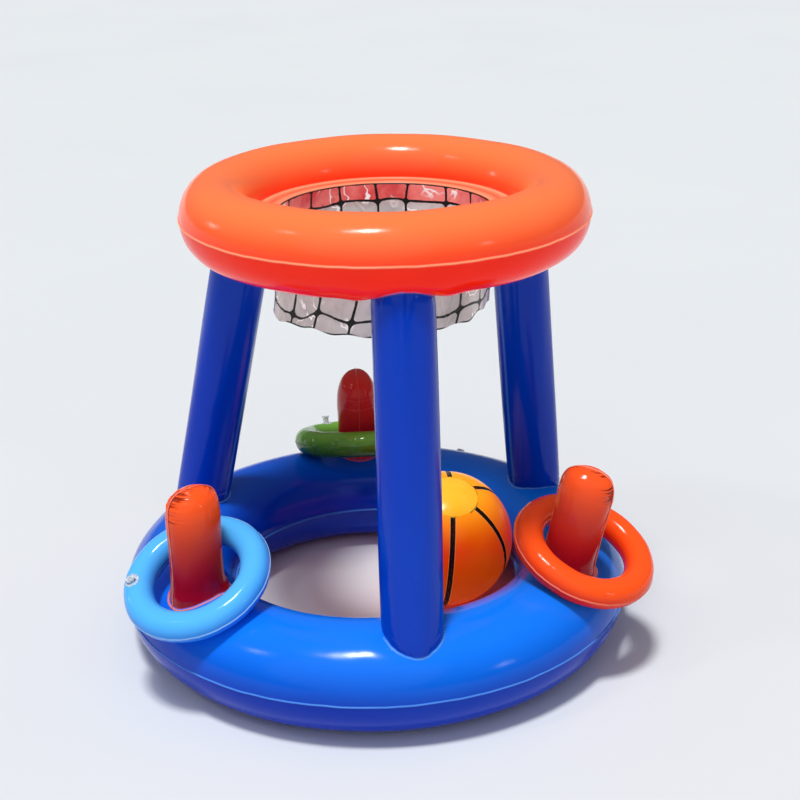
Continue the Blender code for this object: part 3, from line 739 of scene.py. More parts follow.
# %% The form that a peg's two panels share
class Peg:
    """Where a peg stands, the skin of its panels, its folds and its rims; side is 1 or -1."""

    def __init__(self, name, columns=90):
        self.foot, self.axis, self.height = peg_axes[name]
        self.first = square_to(self.axis, self.foot - base.centre)
        self.second = np.cross(self.axis, self.first)
        self.angle = np.linspace(0, np.pi, columns)[:, None]
        self.seed = int(np.random.default_rng(sum(map(ord, name)) + 5).integers(1 << 30))

    def skin(self, side, level, fold=0.0):
        """Points of a panel, at each angle across it and at some levels up the axis."""
        angle, upward = self.angle, level / self.height
        flare = smooth_curve(row_places, row_widths, upward)
        less = straight_width + outer_flare * (flare - straight_width)
        flare = np.where((angle < np.pi / 2) & (level < flare_zone * self.height), less, flare)
        width = peg_width / 2 * flare + fold
        depth = peg_depth / 2 * smooth_curve(row_places, row_depths, upward) + fold
        x = width * np.cos(angle)
        y = side * (panel_gap + np.maximum(depth, 0) * np.sin(angle) ** 0.9)
        points = self.foot + x[..., None] * self.first + y[..., None] * self.second
        return points + level[..., None] * self.axis

    def landed(self, side):
        """The level at which each line up the panel leaves the base ring."""
        low = np.zeros(self.angle.shape)
        for _ in range(8):
            low = low - 0.8 * base.clearance(self.skin(side, low))
        return low

    def folds(self, level, low):
        """Small folds, those gathered at the top, the sharp ones among them, and those at the foot."""
        upward = level / self.height
        line = np.linspace(row_places[0], 1.0, 400)
        half_width = peg_width / 2 * smooth_curve(row_places, row_widths, line)
        run = np.concatenate([[0.0], np.cumsum(np.hypot(np.diff(half_width), np.diff(line * self.height)))])
        along_weld = np.interp(upward, line, run) / run[-1] / 2
        millimetre = 0.0005 / run[-1]
        local_depth = np.maximum(peg_depth / 2 * smooth_curve(row_places, row_depths, upward), 0.003)
        seam_distance = np.minimum(self.angle, np.pi - self.angle) * local_depth
        outer = self.angle < np.pi / 2
        near_top = smooth_curve([-0.2, 0.6, 0.8, 1.0], [0.25, 0.3, 1.0, 1.0], upward)
        small = near_top * puckers(
            along_weld, seam_distance, self.seed, count=50, depth=0.0008, reach=0.008, narrow=2.5 * millimetre
        )
        gathered = np.where(outer, 1.0, 0.5) * near_top * puckers(
            along_weld, seam_distance, self.seed + 1, count=15, depth=gather_depth, reach=0.012,
            narrow=1.9 * millimetre, zone=(0.34, 0.485),
        )
        sharp = np.where(outer, 1.0, 0.35) * near_top * puckers(
            along_weld, seam_distance, self.seed + 3, count=20, depth=sharp_depth, reach=0.012,
            narrow=0.6 * millimetre, zone=(0.34, 0.49),
        )
        at_foot = puckers(
            self.angle / np.pi, level - low, self.seed + 2, count=12, depth=0.0007, reach=0.012, narrow=0.03
        )
        return small, gathered, sharp, at_foot

    def rim(self, edge, sign, side):
        """Two rows of points for the side weld; they stand out square to the outline, also on top."""
        heading = np.gradient(edge, axis=0)
        square = unit(np.stack([heading[:, 1], -heading[:, 0]], -1) + 1e-9) * sign
        square[:4] = (sign, 0.0)
        square[-2:] = (0.0, 1.0)
        wave = 0.0004 * np.sin(190 * edge[:, 1] + sign + self.seed % 7) + 0.0003 * np.sin(410 * edge[:, 1])
        ripple = (wave * np.clip(np.arange(len(edge)) / 12 - 0.3, 0, 1))[:, None] * self.second
        stand = square[:, :1] * self.first + square[:, 1:] * self.axis
        level_side = side * panel_gap * self.second
        base_line = self.foot + edge[:, :1] * self.first + edge[:, 1:] * self.axis + level_side
        width = peg_weld * weld_shown
        return [base_line + stand * reach + ripple * reach / width for reach in (width, 0.5 * width)]


print("pegs stand at", ", ".join(peg_axes))


# %% Two panels for each peg
def panel(name, half, side, painted_light_share, weld_pale, rows=210):
    peg = Peg(name)
    foot, axis, angle = peg.foot, peg.axis, peg.angle
    low = peg.landed(side)
    share = np.sin(0.5 * np.pi * np.linspace(0, 1, rows)) ** 1.15
    level = low + (peg.height - low) * share[None, :]
    small, gathered, sharp, at_foot = peg.folds(level, low)
    fold = small + gathered + sharp + at_foot
    fold = fold + 0.0004 * np.sin(3 * angle + 20 * level + side)
    settle = np.clip((1 - level / peg.height) / 0.008, 0, 1)
    body = peg.skin(side, level, fold * settle * np.sin(angle) ** 0.3)

    # At the foot the film turns outwards and lies on the base ring
    out = square_to(axis, body[:, 0] - foot)
    raised = 0.0007 * axis + 0.0004 * out
    lips = [onto_skin(base.clearance, body[:, 0] + out * far) + raised for far in (0.0035, 0.0015)]
    grid = np.concatenate([lips[0][:, None], lips[1][:, None], body], 1)
    outline = np.stack([(grid - foot) @ peg.first, (grid - foot) @ axis], -1)
    near_rim, far_rim = peg.rim(outline[0], 1.0, side), peg.rim(outline[-1], -1.0, side)
    grid = np.concatenate([np.stack(near_rim), grid, np.stack(far_rim[::-1])], 0)

    # The rows that were added are weld, and they have no crease
    # Painted shade: the sharp folds are drawn dark red, and the same dark red runs beside the side weld
    crease = np.clip(-sharp / 0.0009, 0, 1) ** 1.5 + 0.35 * np.clip(-gathered / 0.0040, 0, 1) ** 2
    at_side = np.arange(len(angle))[:, None] % (len(angle) - 1) == 0
    crease = np.where(at_side, 0.8 * (level > low + 0.01), crease)
    crease = np.pad(crease, ((2, 2), (2, 0)))
    weld = np.pad(bell(level - low, 0.001), ((2, 2), (2, 0)), constant_values=1.0)
    along = ((grid - foot) @ axis)[..., None]
    inside = foot + np.clip(along, 0.01, peg.height - 0.02) * axis - 0.002 * side * peg.second
    # Painted light: the peg is lighter towards its top; a peg in shade gets less of it
    tone = painted_light_share * (along[..., 0] / peg.height).clip(0) ** 1.5
    made = film(
        f"peg_{name}_{half}_skin", grid, inside, around=False,
        weld=weld * weld_pale, crease=crease * weld_pale, tone=tone,
    )
    dress(made, "hoop_stand", "red_film", f"peg_{name}_{half}_panel")


# How much painted light each peg gets; the back peg stands in shade and its weld looks less pale
for name, painted_light_share, weld_pale in (("front_left", 1.0, 1.0), ("front_right", 0.85, 1.0), ("back", 0.28, 0.2)):
    panel(name, "left", 1.0, painted_light_share, weld_pale)
    panel(name, "right", -1.0, painted_light_share, weld_pale)
print("pegs made")

# %% [markdown]
# ## The toss rings
#
# Three small rings of two films each. Two lean on the base ring and on their pegs, and one leans on
# the back peg. They come from the class of the base ring, with narrower welds, and each rides on a
# body of its own. The green one is the softest: it has deeper folds, its underside is painted with
# less shade, so its two films look alike, and its weld hardly shows.

# %% Toss rings
toss = {}
for number, (colour, slot, folds) in enumerate((
    ("blue", "light_blue_film", 0.0003), ("red", "orange_red_film", 0.0003), ("green", "green_film", 0.0012)
)):
    body = f"toss_ring_{colour}"
    toss[colour] = Ring(f"{body}_lower_film", 0.0336, 0.0325, 0.0015, 0.0, 0.0003, 40 + number)
    if colour == "green":
        # Painted light: the green ring's underside gets less painted shade, so both films look alike
        toss[colour].painted_light_levels = (0.40, 0.60, 0.40)
    for side, half in ((1, "upper"), (-1, "lower")):
        toss[colour].make_film(
            f"{body}_{half}_skin", side, body, slot, f"{body}_{half}_film", (420, 41), folds, 0.0003, 0.0003
        )
    print(body, "centre", toss[colour].centre.round(4), "tube circle", round(float(toss[colour].radius), 4))

# %% [markdown]
# ## The net
#
# The net is a tube of clear film, welded under the hoop's flange and printed with a drawing of a
# net. The print has eighteen upright lines and four rows of rounded cells, none of them quite
# regular, and the first row is tinted red. The print could be an image, but then its edges would
# blur close up. Here each point of the mesh carries its distance to the nearest printed line, so
# the shader only has to compare that with half a line's width. The film itself hangs in soft waves,
# with sharper creases where it was folded, and sways a little to the left.

# %% The net's sizes
def between_lines(coordinate, edges):
    """For each place, the number of the gap it lies in between the edges, and the edges on both sides."""
    number = (coordinate[None] >= edges).sum(0) - 1
    number = np.clip(number, 0, len(edges) - 2)
    low = np.take_along_axis(edges, number[None], 0)[0]
    high = np.take_along_axis(edges, number[None] + 1, 0)[0]
    return number, low, high


net_low, net_high = (np.array(corner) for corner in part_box("net_film"))
net_top = net_high[2]
net_drop = net_high[2] - net_low[2]
net_radius = hoop.radius - hoop.a - hoop.inner_weld
rng = np.random.default_rng(7)
columns, rows, upright_count = 800, 108, 18
around = full_turn(columns)
drop = np.concatenate([[0.0], np.linspace(0.0, net_drop, rows)])[None, :]
lap = np.zeros_like(drop)
lap[0, 0] = 0.006
arc = around * net_radius + 0 * drop
whole = 2 * np.pi * net_radius
p = rng.uniform(0, 2 * np.pi, 30)
print("net radius", round(float(net_radius), 4), "drop", round(float(net_drop), 4))

# %% Upright lines, each with its own place and its own slow wander
starts = (np.arange(-1, upright_count + 2) + 0.5) * whole / upright_count
jitter = rng.uniform(-0.0035, 0.0035, upright_count)
wander = rng.uniform(0, 2 * np.pi, upright_count)
lean = rng.uniform(-0.004, 0.004, upright_count)
uprights = np.stack([
    starts[i] + jitter[i % upright_count] + lean[i % upright_count] * drop / net_drop
    + 0.0028 * np.sin(62 * drop + wander[i % upright_count]) + 0 * around
    for i in range(len(starts))
])
column, left, right = between_lines(arc, uprights)
share = (arc - left) / (right - left)
print("upright lines:", upright_count)

# %% Level lines run from upright to upright, each stretch with its own height and its own bow
levels = np.array([-0.0005, 0.020, 0.055, 0.090, 0.126])
most_shift = np.array([0, 0.0030, 0.0070, 0.0070, 0.003])[:, None]
most_bow = np.array([0, 0.0024, 0.0060, 0.0060, 0.002])[:, None]
shift = rng.uniform(-1, 1, (len(levels), upright_count)) * most_shift
bow = rng.uniform(-1, 1, (len(levels), upright_count)) * most_bow
smooth_share = share * share * (3 - 2 * share)
this, following = column % upright_count, (column + 1) % upright_count
lines = np.stack([
    levels[k]
    + shift[k][this] * (1 - smooth_share) + shift[k][following] * smooth_share
    + bow[k][this] * np.sin(np.pi * share)
    for k in range(len(levels))
])
row, above, below = between_lines(drop + 0 * around, lines)
half_x, half_y = (right - left) / 2, (below - above) / 2
first_row_corner, other_corner = 0.0040, 0.0070
corner = np.where(row == 0, first_row_corner, other_corner)
corner = np.minimum(corner, np.minimum(half_x, half_y))
x = np.maximum(np.abs(arc - (left + right) / 2) - (half_x - corner), 0)
y = np.maximum(np.abs(drop - (above + below) / 2) - (half_y - corner), 0)
ink = (np.hypot(x, y) - corner) * 1000
tint = (lines[1] - drop) * 1000
print("printed cells:", upright_count * (len(levels) - 1))

# %% Soft waves grow towards the free edge, and creases cross them
hang = drop / net_drop
wave = 0.0022 * np.cos(9 * around + 0.4) + 0.0014 * np.cos(5 * around + p[20])
wave = wave + 0.0008 * np.cos(17 * around + p[21])
swing = wave * hang ** 1.2 + 0.0010 * np.sin(3 * around + 40 * drop + p[22]) * hang
net_crease_count, net_sway = 90, np.array([-0.009, -0.001, 0.0])
for _ in range(net_crease_count):
    middle = np.array([rng.uniform(0, whole), rng.uniform(0.012, net_drop)])
    turn, length, width = rng.uniform(-0.9, 0.9), rng.uniform(0.008, 0.026), rng.uniform(0.0011, 0.0022)
    along = (arc - middle[0] + whole / 2) % whole - whole / 2
    down = drop - middle[1]
    run, side = along * np.sin(turn) + down * np.cos(turn), along * np.cos(turn) - down * np.sin(turn)
    depth = rng.choice((-1, 1)) * rng.uniform(0.0006, 0.0014)
    swing = swing + depth * np.exp(-((run / length) ** 2) - (side / width) ** 2)
edge_wave = 0.0016 * np.cos(upright_count * around + p[23]) + 0.0014 * np.cos(7 * around + p[24])
fall = drop + edge_wave * hang ** 6 - 0.0016 * hang ** 6
rho = net_radius + lap - 0.0006 + swing * np.minimum(1, drop / 0.01)
print("the net swings by", round(1000 * float(swing.max() - swing.min()), 1), "mm")

# %% The net's film
level_part, upright_part = np.array([1, 1, 0]), np.array([0, 0, 1])
grid = hoop.place(around, rho, 0 * rho) * level_part + upright_part * (net_top - fall)[..., None]
grid = grid + net_sway * (hang ** 1.3)[..., None]
inside = hoop.place(around, 0 * rho, 0 * rho) * level_part
inside = inside + upright_part * (net_top - fall - 0.01)[..., None]
net = film(
    "net_skin", grid, inside, thickness=thin_film,
    ink=ink, tint=tint, edge=(net_drop - drop) * 1000, weld=np.where(drop < 0.0015, 1.0, 0.0),
)
print("net points:", grid.shape[0] * grid.shape[1])


# %% The net's finish
def printed_film(name):
    # The weak glow is painted light
    paint = Paint(name, IOR=1.5, Specular_IOR_Level=0.36, Emission_Strength=0.20)
    cloud = paint.noise(14.0, 4.0, 0.6)
    haze = paint.mix(cloud.within(0.3, 0.75), rgb(168, 160, 158), rgb(222, 216, 212))
    red = paint.mix(cloud.within(0.35, 0.65), rgb(214, 56, 62), rgb(250, 140, 132))
    first_row = paint.attribute("tint").within(-0.3, 0.3)
    ragged = paint.noise(420.0, 3.0) * 0.5 + paint.noise(70.0, 1.0) * 1.4 - 0.95
    line = (paint.attribute("ink") + ragged).within(-1.55, -1.35)
    broken = paint.noise(22.0, 1.0).within(0.46, 0.52)
    rim = paint.attribute("edge").within(1.9, 1.5) * broken
    inked = line.math("MAXIMUM", rim)
    # Painted highlights: thin white glints along wavy lines of a noise
    ridge = (paint.noise(34.0, 2.0, 0.5) - 0.5).math("ABSOLUTE").within(0.022, 0.006)
    painted_glint = ridge * paint.noise(24.0, 1.0).within(0.44, 0.54)
    tinted = paint.mix(painted_glint, paint.mix(first_row, haze, red), rgb(255, 252, 250))
    black = paint.mix(paint.noise(60.0, 2.0), rgb(4, 2, 2), rgb(18, 14, 14))
    colour = paint.mix(inked, tinted, black)
    haze_alpha = 0.64 + cloud * 0.18 + first_row * 0.20
    alpha = haze_alpha.math("MAXIMUM", inked.math("MAXIMUM", painted_glint), clamp=True)
    fine = paint.bump(paint.noise(260.0, 2.0), 0.00008, 0.4)
    soft = paint.bump(paint.noise(55.0, 3.0), 0.0014, 0.6, under=fine)
    rough = 0.10 + inked * 0.25 + cloud * 0.08
    return paint.finish(Base_Color=colour, Alpha=alpha, Roughness=rough, Normal=soft, Emission_Color=colour)


films["clear_net_film"] = printed_film("printed clear film")
dress(net, "hoop_stand", "clear_net_film", "net_film")
print("net made")

# %% [markdown]
# ## The ball
#
# Six gores run from cap to cap. Their solids lie on a sphere, which is fitted here, and the top cap
# tells where the pole is. A black stripe is printed over each seam between two gores; the caps are
# yellow, and thin dark print marks their edge. The stripe is again a distance that the points
# carry. A single sphere could carry painted stripes, but the real ball is welded from gores, and it
# has small folds along each seam. The ball isn't blown up hard, so its skin is drawn 2 mm smaller
# than the solid, and it sits a little lower and to the right.

# %% Where the ball lies
gore_count = 6
gore_corners = np.vstack([corners_of(f"ball_gore_{number + 1}") for number in range(gore_count)])
system = np.hstack([2 * gore_corners, np.ones((len(gore_corners), 1))])
solution = np.linalg.lstsq(system, (gore_corners ** 2).sum(1), rcond=None)[0]
ball_slack, ball_shift = 0.0020, np.array([0.0012, 0.0, -0.0010])
ball_radius = np.linalg.norm(gore_corners - solution[:3], axis=1).max() - ball_slack
ball_centre = solution[:3] + ball_shift
pole = unit(corners_of("ball_top_cap").mean(0) - ball_centre)
toward = square_to(pole, corners_of("ball_gore_1").mean(0) - ball_centre)
ball_axes = np.array([toward, np.cross(pole, toward), pole])
cap_angle, lap_angle, cap_reach = math.radians(23.5), math.radians(1.5), 0.034


def on_ball(azimuth, polar, radius):
    out = radius * np.sin(polar)
    local = np.stack(np.broadcast_arrays(
        out * np.cos(azimuth), out * np.sin(azimuth), radius * np.cos(polar)
    ), -1)
    return ball_centre + local @ ball_axes


print("ball centre", ball_centre.round(4), "radius", round(float(ball_radius), 4))


# %% The ball's two finishes
def ball_dimples(paint):
    """The orange peel and the soft dimples of the ball's vinyl."""
    fine = paint.bump(paint.noise(900.0), peel_height, 0.35)
    return paint.bump(paint.noise(42.0, 2.0), 0.0005, 0.5, under=fine)


def ball_film(name):
    # The glow is painted light, so the ball looks lit through its film
    paint = Paint(name, IOR=1.5, Specular_IOR_Level=gloss_level, Emission_Strength=0.30)
    height = paint.attribute("height")
    cloud = paint.noise(7.0, 3.0)
    # Painted light and shade: yellower towards the top, deeper orange towards the bottom
    deep = paint.mix(height.within(0.2, 0.95), rgb(255, 62, 0), rgb(255, 160, 14))
    blotch = paint.mix(cloud.within(0.4, 0.75) * 0.2, deep, rgb(255, 172, 40))
    stripe = (paint.attribute("stripe") + paint.noise(300.0, 2.0) * 0.4 - 0.2).within(3.15, 2.95)
    beside = paint.attribute("stripe").within(4.2, 3.3) * 0.3
    pale = paint.mix(beside, blotch, rgb(255, 196, 110))
    colour = paint.mix(stripe, pale, rgb(18, 12, 12))
    rough = 0.20 + cloud * 0.08 + stripe * 0.06
    return paint.finish(
        Base_Color=colour, Roughness=rough, Normal=ball_dimples(paint), Emission_Color=colour
    )


def cap_film(name):
    # The weak glow is painted light
    paint = Paint(name, IOR=1.5, Specular_IOR_Level=gloss_level, Emission_Strength=0.12)
    cloud = paint.noise(12.0, 3.0)
    yellow = paint.mix(cloud.within(0.3, 0.7), rgb(255, 184, 34), rgb(255, 204, 66))
    away = paint.attribute("rim")
    line = away.within(1.5, 1.2) * away.within(0.5, 0.75) * 0.8
    colour = paint.mix(line, yellow, rgb(110, 60, 14))
    rough = 0.18 + cloud * 0.08
    return paint.finish(
        Base_Color=colour, Roughness=rough, Normal=ball_dimples(paint), Emission_Color=colour
    )


films["ball_orange_film"] = ball_film("ball gore vinyl")
films["ball_yellow_film"] = cap_film("ball cap vinyl")
print("films:", len(films))

# %% Gores and caps
span = 2 * math.pi / gore_count
polar = np.linspace(cap_angle - lap_angle, math.pi - cap_angle + lap_angle, 110)[None, :]
for number in range(gore_count):
    across = np.linspace(0, 1, 41)[:, None]
    half_gap = 0.00001 / (ball_radius * np.sin(polar))
    azimuth = (number - 0.5) * span + half_gap + across * (span - 2 * half_gap)
    seam = np.minimum(across, 1 - across) * span * np.sin(polar) * ball_radius
    cap_distance = np.minimum(polar - polar.min(), polar.max() - polar) * ball_radius
    radius = ball_radius + 0.0004 * np.sin(np.pi * across) - 0.0004 * bell(seam, 0.002)
    radius = radius + puckers(
        polar / np.pi, seam, 60 + number, count=22, depth=0.0005, reach=0.007, narrow=0.006
    )
    radius = radius + puckers(
        across, cap_distance, 80 + number, count=8, depth=0.0005, reach=0.008, narrow=0.035
    )
    grid = on_ball(azimuth, polar, radius)
    height = (grid[..., 2] - ball_centre[2]) / ball_radius
    made = film(
        f"ball_gore_{number + 1}_skin", grid, ball_centre, around=False, thickness=thin_film,
        stripe=seam * 1000, height=height,
    )
    dress(made, "ball", "ball_orange_film", f"ball_gore_{number + 1}")
for name, turn in (("top", 0.0), ("bottom", math.pi)):
    azimuth = full_turn(144)
    out = np.linspace(0, 1, 26)[None, :]
    edge_distance = (1 - out) * cap_reach
    radius = ball_radius + 0.0005 - 0.0002 * out
    radius = radius + puckers(
        azimuth / (2 * np.pi), edge_distance, 99, count=16, depth=0.0004, reach=0.006, narrow=0.012
    )
    grid = on_ball(azimuth, np.abs(turn - out * cap_angle), radius)
    made = film(
        f"ball_{name}_cap_skin", grid, ball_centre, thickness=thin_film,
        rim=(1 - out) * cap_angle * ball_radius * 1000,
    )
    dress(made, "ball", "ball_yellow_film", f"ball_{name}_cap")
print("ball made")

# %% [markdown]
# ## The valves
#
# Six valves of clear vinyl: a seat welded on the film, a stem that pushes in, and a plug cap on a
# strap. A valve's place comes from the hinge of its cap, and its direction from the slide of its
# stem. The seat is a slightly crumpled disc laid on the film's skin, found by the same landing as
# the legs. The stem and the cap are turned from rounded profiles, and each carries its half of the
# strap. A valve could be one lump, but its stem and its cap move by themselves, so each is a piece
# of its own. The clear vinyl has painted white highlights along some wavy lines and painted dark
# reflections along others.

# %% A valve's sizes, and its clear vinyl
stem_radius, bore_radius, rim_radius, rim_thickness = 0.0038, 0.0026, 0.0050, 0.0010
stem_length, seat_reach, seat_thickness, gap = 0.0090, 0.0090, 0.0006, 0.0003
cap_thickness, plug_radius, plug_length = 0.0012, 0.0019, 0.0018
strap_width, hinge_offset, travel = 0.0034, 0.0064, 0.0060


def clear_vinyl(name):
    paint = Paint(name, IOR=1.5, Specular_IOR_Level=0.7)
    cloud = paint.noise(160.0, 3.0)
    milky = paint.mix(cloud, rgb(196, 214, 226), rgb(232, 240, 244))
    # Painted highlights along some thin wavy lines, and painted dark reflections along others
    painted_valve_glint = (paint.noise(210.0, 1.0) - 0.5).math("ABSOLUTE").within(0.035, 0.015)
    painted_valve_dark_reflection = (paint.noise(170.0, 1.0, place=paint.moved(0.3)) - 0.5).math("ABSOLUTE").within(0.022, 0.008)
    colour = paint.mix(painted_valve_glint, paint.mix(painted_valve_dark_reflection, milky, rgb(44, 62, 84)), rgb(252, 254, 255))
    mould = paint.node("ShaderNodeTexWave", {"wave_type": "RINGS"}, {"Scale": 90.0, "Distortion": 1.5})
    soft = paint.bump(mould, 0.00005, 0.3, under=paint.bump(cloud, 0.0006, 0.6))
    alpha = (0.38 + cloud * 0.25).math("MAXIMUM", (painted_valve_glint * 0.85).math("MAXIMUM", painted_valve_dark_reflection * 0.5), clamp=True)
    return paint.finish(Base_Color=colour, Alpha=alpha, Roughness=0.08 + cloud * 0.12, Normal=soft)


films["clear_valve_film"] = clear_vinyl("clear moulded vinyl")
print("stem", 2000 * stem_radius, "mm thick and", 1000 * stem_length, "mm long")


# %% Turned pieces and straps
def rounded(profile, radius, steps=4):
    """A turned outline with its corners rounded off; points on the axis stay."""
    out = []
    for i, point in enumerate(profile):
        before, after = profile[i - 1], profile[(i + 1) % len(profile)]
        if point[0] < 1e-6:
            out.append(point)
            continue
        point, before, after = (np.array(x, float) for x in (point, before, after))
        one, two = before - point, after - point
        cut = min(radius, 0.45 * np.linalg.norm(one), 0.45 * np.linalg.norm(two))
        one, two = point + unit(one) * cut, point + unit(two) * cut
        for k in range(steps + 1):
            t = k / steps
            out.append(tuple((1 - t) ** 2 * one + 2 * t * (1 - t) * point + t * t * two))
    return out


def valve_piece(name, frame_matrix, shapes, body, node):
    """One closed mesh from turned outlines and strap outlines, all in the valve's own frame."""
    shape = bmesh.new()
    for kind, data in shapes:
        made = bmesh.new()
        if kind == "turned":
            outline = [made.verts.new((r, 0.0, z)) for r, z in data]
            closed = data[0][0] > 1e-6
            pairs = zip(outline, outline[1:] + (outline[:1] if closed else []))
            edges = [made.edges.new(pair) for pair in pairs]
            bmesh.ops.spin(
                made, geom=outline + edges, cent=(0, 0, 0), axis=(0, 0, 1), angle=2 * math.pi, steps=40,
                use_merge=True,
            )
            bmesh.ops.remove_doubles(made, verts=made.verts, dist=1e-6)
        else:
            outline, low, high = data
            bottom = [made.verts.new((x, y, low)) for x, y in outline]
            face = made.faces.new(bottom)
            risen = bmesh.ops.extrude_face_region(made, geom=[face])["geom"]
            top = [thing for thing in risen if isinstance(thing, bmesh.types.BMVert)]
            bmesh.ops.translate(made, vec=(0, 0, high - low), verts=top)
            bmesh.ops.bevel(
                made, geom=made.edges[:], offset=0.00015, segments=2, affect="EDGES", clamp_overlap=True
            )
        bmesh.ops.recalc_face_normals(made, faces=made.faces)
        mesh = bpy.data.meshes.new(name + "_part")
        made.to_mesh(mesh)
        made.free()
        shape.from_mesh(mesh)
        bpy.data.meshes.remove(mesh)
    mesh = bpy.data.meshes.new(name)
    shape.to_mesh(mesh)
    shape.free()
    mesh.transform(frame_matrix)
    mesh.shade_smooth()
    mesh.set_sharp_from_angle(angle=math.radians(40))
    made = bpy.data.objects.new(name, mesh)
    scene_objects.link(made)
    return dress(made, body, "clear_valve_film", node)


def strap(reach, narrow):
    """A tapered strap from the rim to the hinge line, as an outline; the hinge lies at negative x."""
    half, hinge = strap_width / 2, -hinge_offset
    return [
        (hinge, -half * narrow), (hinge + reach * 0.3, -half * 0.75), (hinge + reach, -half),
        (hinge + reach, half), (hinge + reach * 0.3, half * 0.75), (hinge, half * narrow),
    ]


print("strap", 1000 * strap_width, "mm wide, tapered towards its hinge")


# %% One valve
def valve(prefix, carrier, clearance, slide, raised):
    swing = joints[f"{prefix}_valve_cap_swing"]
    up, side = unit(np.array(joints[slide]["axis"])), unit(np.array(swing["axis"]))
    forward = np.cross(up, side)
    rim_low = (travel if raised else 0.0) + seat_thickness + 2 * gap
    rim_top = rim_low + rim_thickness
    origin = np.array(swing["pos_m"]) + forward * hinge_offset - up * (rim_top + gap / 2)
    matrix = Matrix.Translation(origin) @ Matrix([forward, -side, up]).transposed().to_4x4()

    angle = full_turn(48)
    across = np.cos(angle) * forward + np.sin(angle) * side
    reach = np.array([stem_radius + 0.0005, 0.0046, 0.0052, 0.0060, 0.0070, 0.0080, seat_reach])
    start = origin + 0.01 * up + across[:, None, :] * reach[None, :, None]
    height = 0.01 - landing(clearance, start, -up, 0.02)
    bead = np.array([0.0002, 0.0005, 0.0004, 0.0003, 0.0003, 0.0002, 0.0])
    bead = bead + 0.0003 * (1 + np.sin(7 * angle + 300 * reach)) * np.clip((reach - 0.0046) / 0.0015, 0, 1)
    grid = start + up * (height + bead + 0.0003 - 0.01)[..., None]
    seat = film(f"{prefix}_valve_seat_skin", grid, origin - 0.02 * up, thickness=thin_film, weld=0.0)
    dress(seat, carrier, "clear_valve_film", f"{prefix}_valve_seat")

    strap_reach = hinge_offset - (bore_radius + rim_radius) / 2
    outline = [
        (bore_radius, rim_top), (rim_radius, rim_top), (rim_radius, rim_low), (stem_radius, rim_low),
        (stem_radius, rim_low - stem_length), (bore_radius, rim_low - stem_length),
    ]
    shapes = [
        ("turned", rounded(outline, 0.0003)),
        ("strap", (strap(strap_reach, 0.7), rim_low + 0.0002, rim_top - 0.0002)),
    ]
    valve_piece(f"{prefix}_valve_stem_skin", matrix, shapes, f"{prefix}_valve_stem", f"{prefix}_valve_stem")

    cap_low = rim_top + gap
    cap_top = cap_low + cap_thickness
    outline = [
        (0.0, cap_top - 0.0002), (rim_radius * 0.55, cap_top - 0.0002), (rim_radius * 0.68, cap_top),
        (rim_radius, cap_top), (rim_radius, cap_low), (plug_radius, cap_low),
        (plug_radius * 0.85, cap_low - plug_length), (0.0, cap_low - plug_length),
    ]
    tab_start, tab_end = rim_radius - 0.001, rim_radius + 0.0014
    tab = [(tab_start, -0.0014), (tab_end, -0.0011), (tab_end, 0.0011), (tab_start, 0.0014)]
    shapes = [
        ("turned", rounded(outline, 0.00025)),
        ("strap", (strap(strap_reach, 0.7), cap_low + 0.0001, cap_low + 0.0007)),
        ("strap", (tab, cap_low + 0.0002, cap_top - 0.0002)),
    ]
    valve_piece(f"{prefix}_valve_cap_skin", matrix, shapes, f"{prefix}_valve_cap", f"{prefix}_valve_cap")


def ball_clearance(points):
    return np.linalg.norm(points - ball_centre, axis=-1) - ball_radius


print("ball skin at its pole:", ball_clearance(ball_centre + pole * ball_radius).round(6))

# %% Six valves
valve("base", "hoop_stand", base.clearance, "base_valve_pull", False)
valve("hoop", "hoop_stand", hoop.clearance, "hoop_valve_pull", False)
for colour, ring in toss.items():
    raised = colour == "green"
    slide = f"toss_{colour}_valve_push" if raised else f"toss_{colour}_valve_pull"
    valve(f"toss_{colour}", f"toss_ring_{colour}", ring.clearance, slide, raised)
valve("ball", "ball", ball_clearance, "ball_valve_pull", False)
print("valves made")

# %% [markdown]
# ## Floor, backdrop and light
#
# The set stands on a plain pale floor that reaches past the whole picture. A lamp nearly overhead,
# a little in front, gives the white streaks on the rings and the soft shadow, and a weak one beside
# it draws the streaks out. A very wide lamp in front lights the sides. Three weak lamps, low at the
# front right, at the back left and from the left, give the small second glints. The world is an
# even fill, brighter above than at the horizon, so the film mirrors a pale sky. A picture of a
# studio could light the set too, but with lamps each highlight has one cause and can be moved by
# itself.

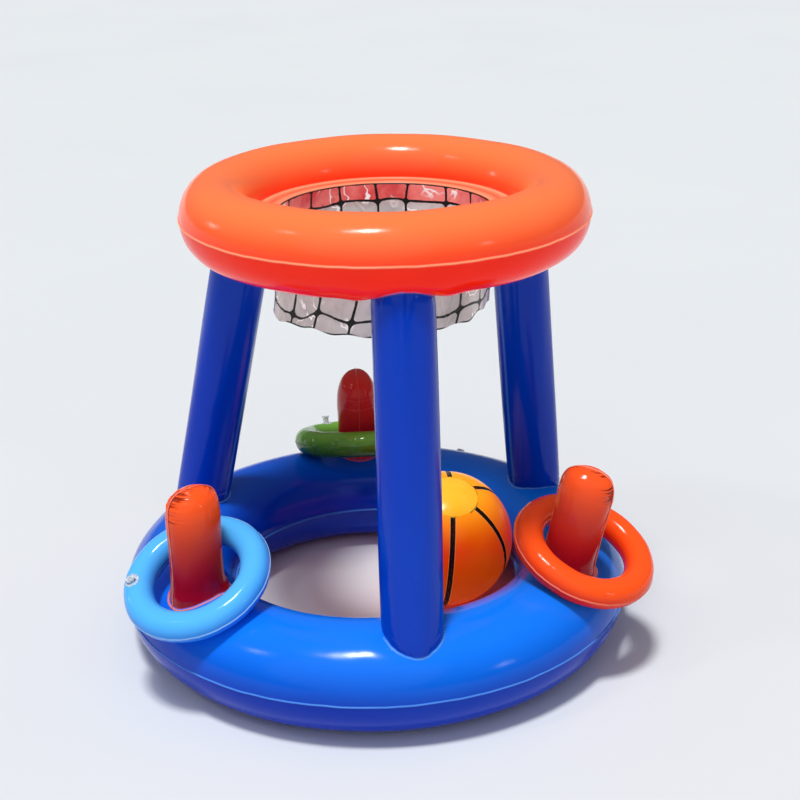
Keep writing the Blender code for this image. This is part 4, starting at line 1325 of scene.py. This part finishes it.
# %% Floor
def floor_paint():
    paint = Paint("pale floor", Specular_IOR_Level=0.2)
    cloud = paint.noise(1.6, 4.0)
    colour = paint.mix(cloud, rgb(220, 224, 228), rgb(226, 230, 233))
    return paint.finish(Base_Color=colour, Roughness=0.75 + paint.noise(30.0) * 0.1)


floor_reach, floor_depth = 300.0, 0.0006
floor_mesh = bpy.data.meshes.new("floor")
shape = bmesh.new()
bmesh.ops.create_grid(shape, x_segments=8, y_segments=8, size=floor_reach)
bmesh.ops.translate(shape, vec=(0, 0, -floor_depth), verts=shape.verts)
shape.to_mesh(floor_mesh)
shape.free()
floor = bpy.data.objects.new("floor", floor_mesh)
floor_mesh.materials.append(floor_paint())
scene_objects.link(floor)
print("floor reaches", floor_reach, "m")


# %% Lamps
def lamp(name, azimuth, elevation, strength, angle):
    """A far lamp, seen from the set at that azimuth and elevation and as wide as angle, all in degrees."""
    made = bpy.data.objects.new(name, bpy.data.lights.new(name, "SUN"))
    made.data.energy = strength
    made.data.angle = math.radians(angle)
    azimuth, elevation = math.radians(azimuth), math.radians(elevation)
    out = math.cos(elevation)
    toward = Vector((math.cos(azimuth) * out, math.sin(azimuth) * out, math.sin(elevation)))
    made.rotation_euler = toward.to_track_quat("Z", "Y").to_euler()
    scene_objects.link(made)


lamp("key", -125.0, 78.0, 2.05, 9.0)
lamp("key_trail", -140.0, 73.0, 0.35, 8.0)
lamp("front_soft", -105.0, 35.0, 0.55, 70.0)
lamp("front_right", -40.0, 16.0, 0.10, 5.0)
lamp("back_left", 153.0, 15.0, 0.08, 5.0)
lamp("left", -168.0, 50.0, 0.14, 6.0)

# %% World
sky = Paint("studio", "worlds", "Background", Color=(0.96, 0.98, 1.0, 1.0))
place = sky.node("ShaderNodeTexCoord", output="Generated")
upward = sky.node("ShaderNodeSeparateXYZ", sockets={0: place}, output="Z")
limits = {"From Min": -0.1, "From Max": 0.9, "To Min": 0.12, "To Max": 0.26}
brightness = sky.node("ShaderNodeMapRange", sockets={"Value": upward, **limits})
bpy.context.scene.world = sky.finish(Strength=brightness)
bpy.context.scene.view_settings.view_transform = "Standard"
print("world brightness:", limits["To Min"], "to", limits["To Max"])
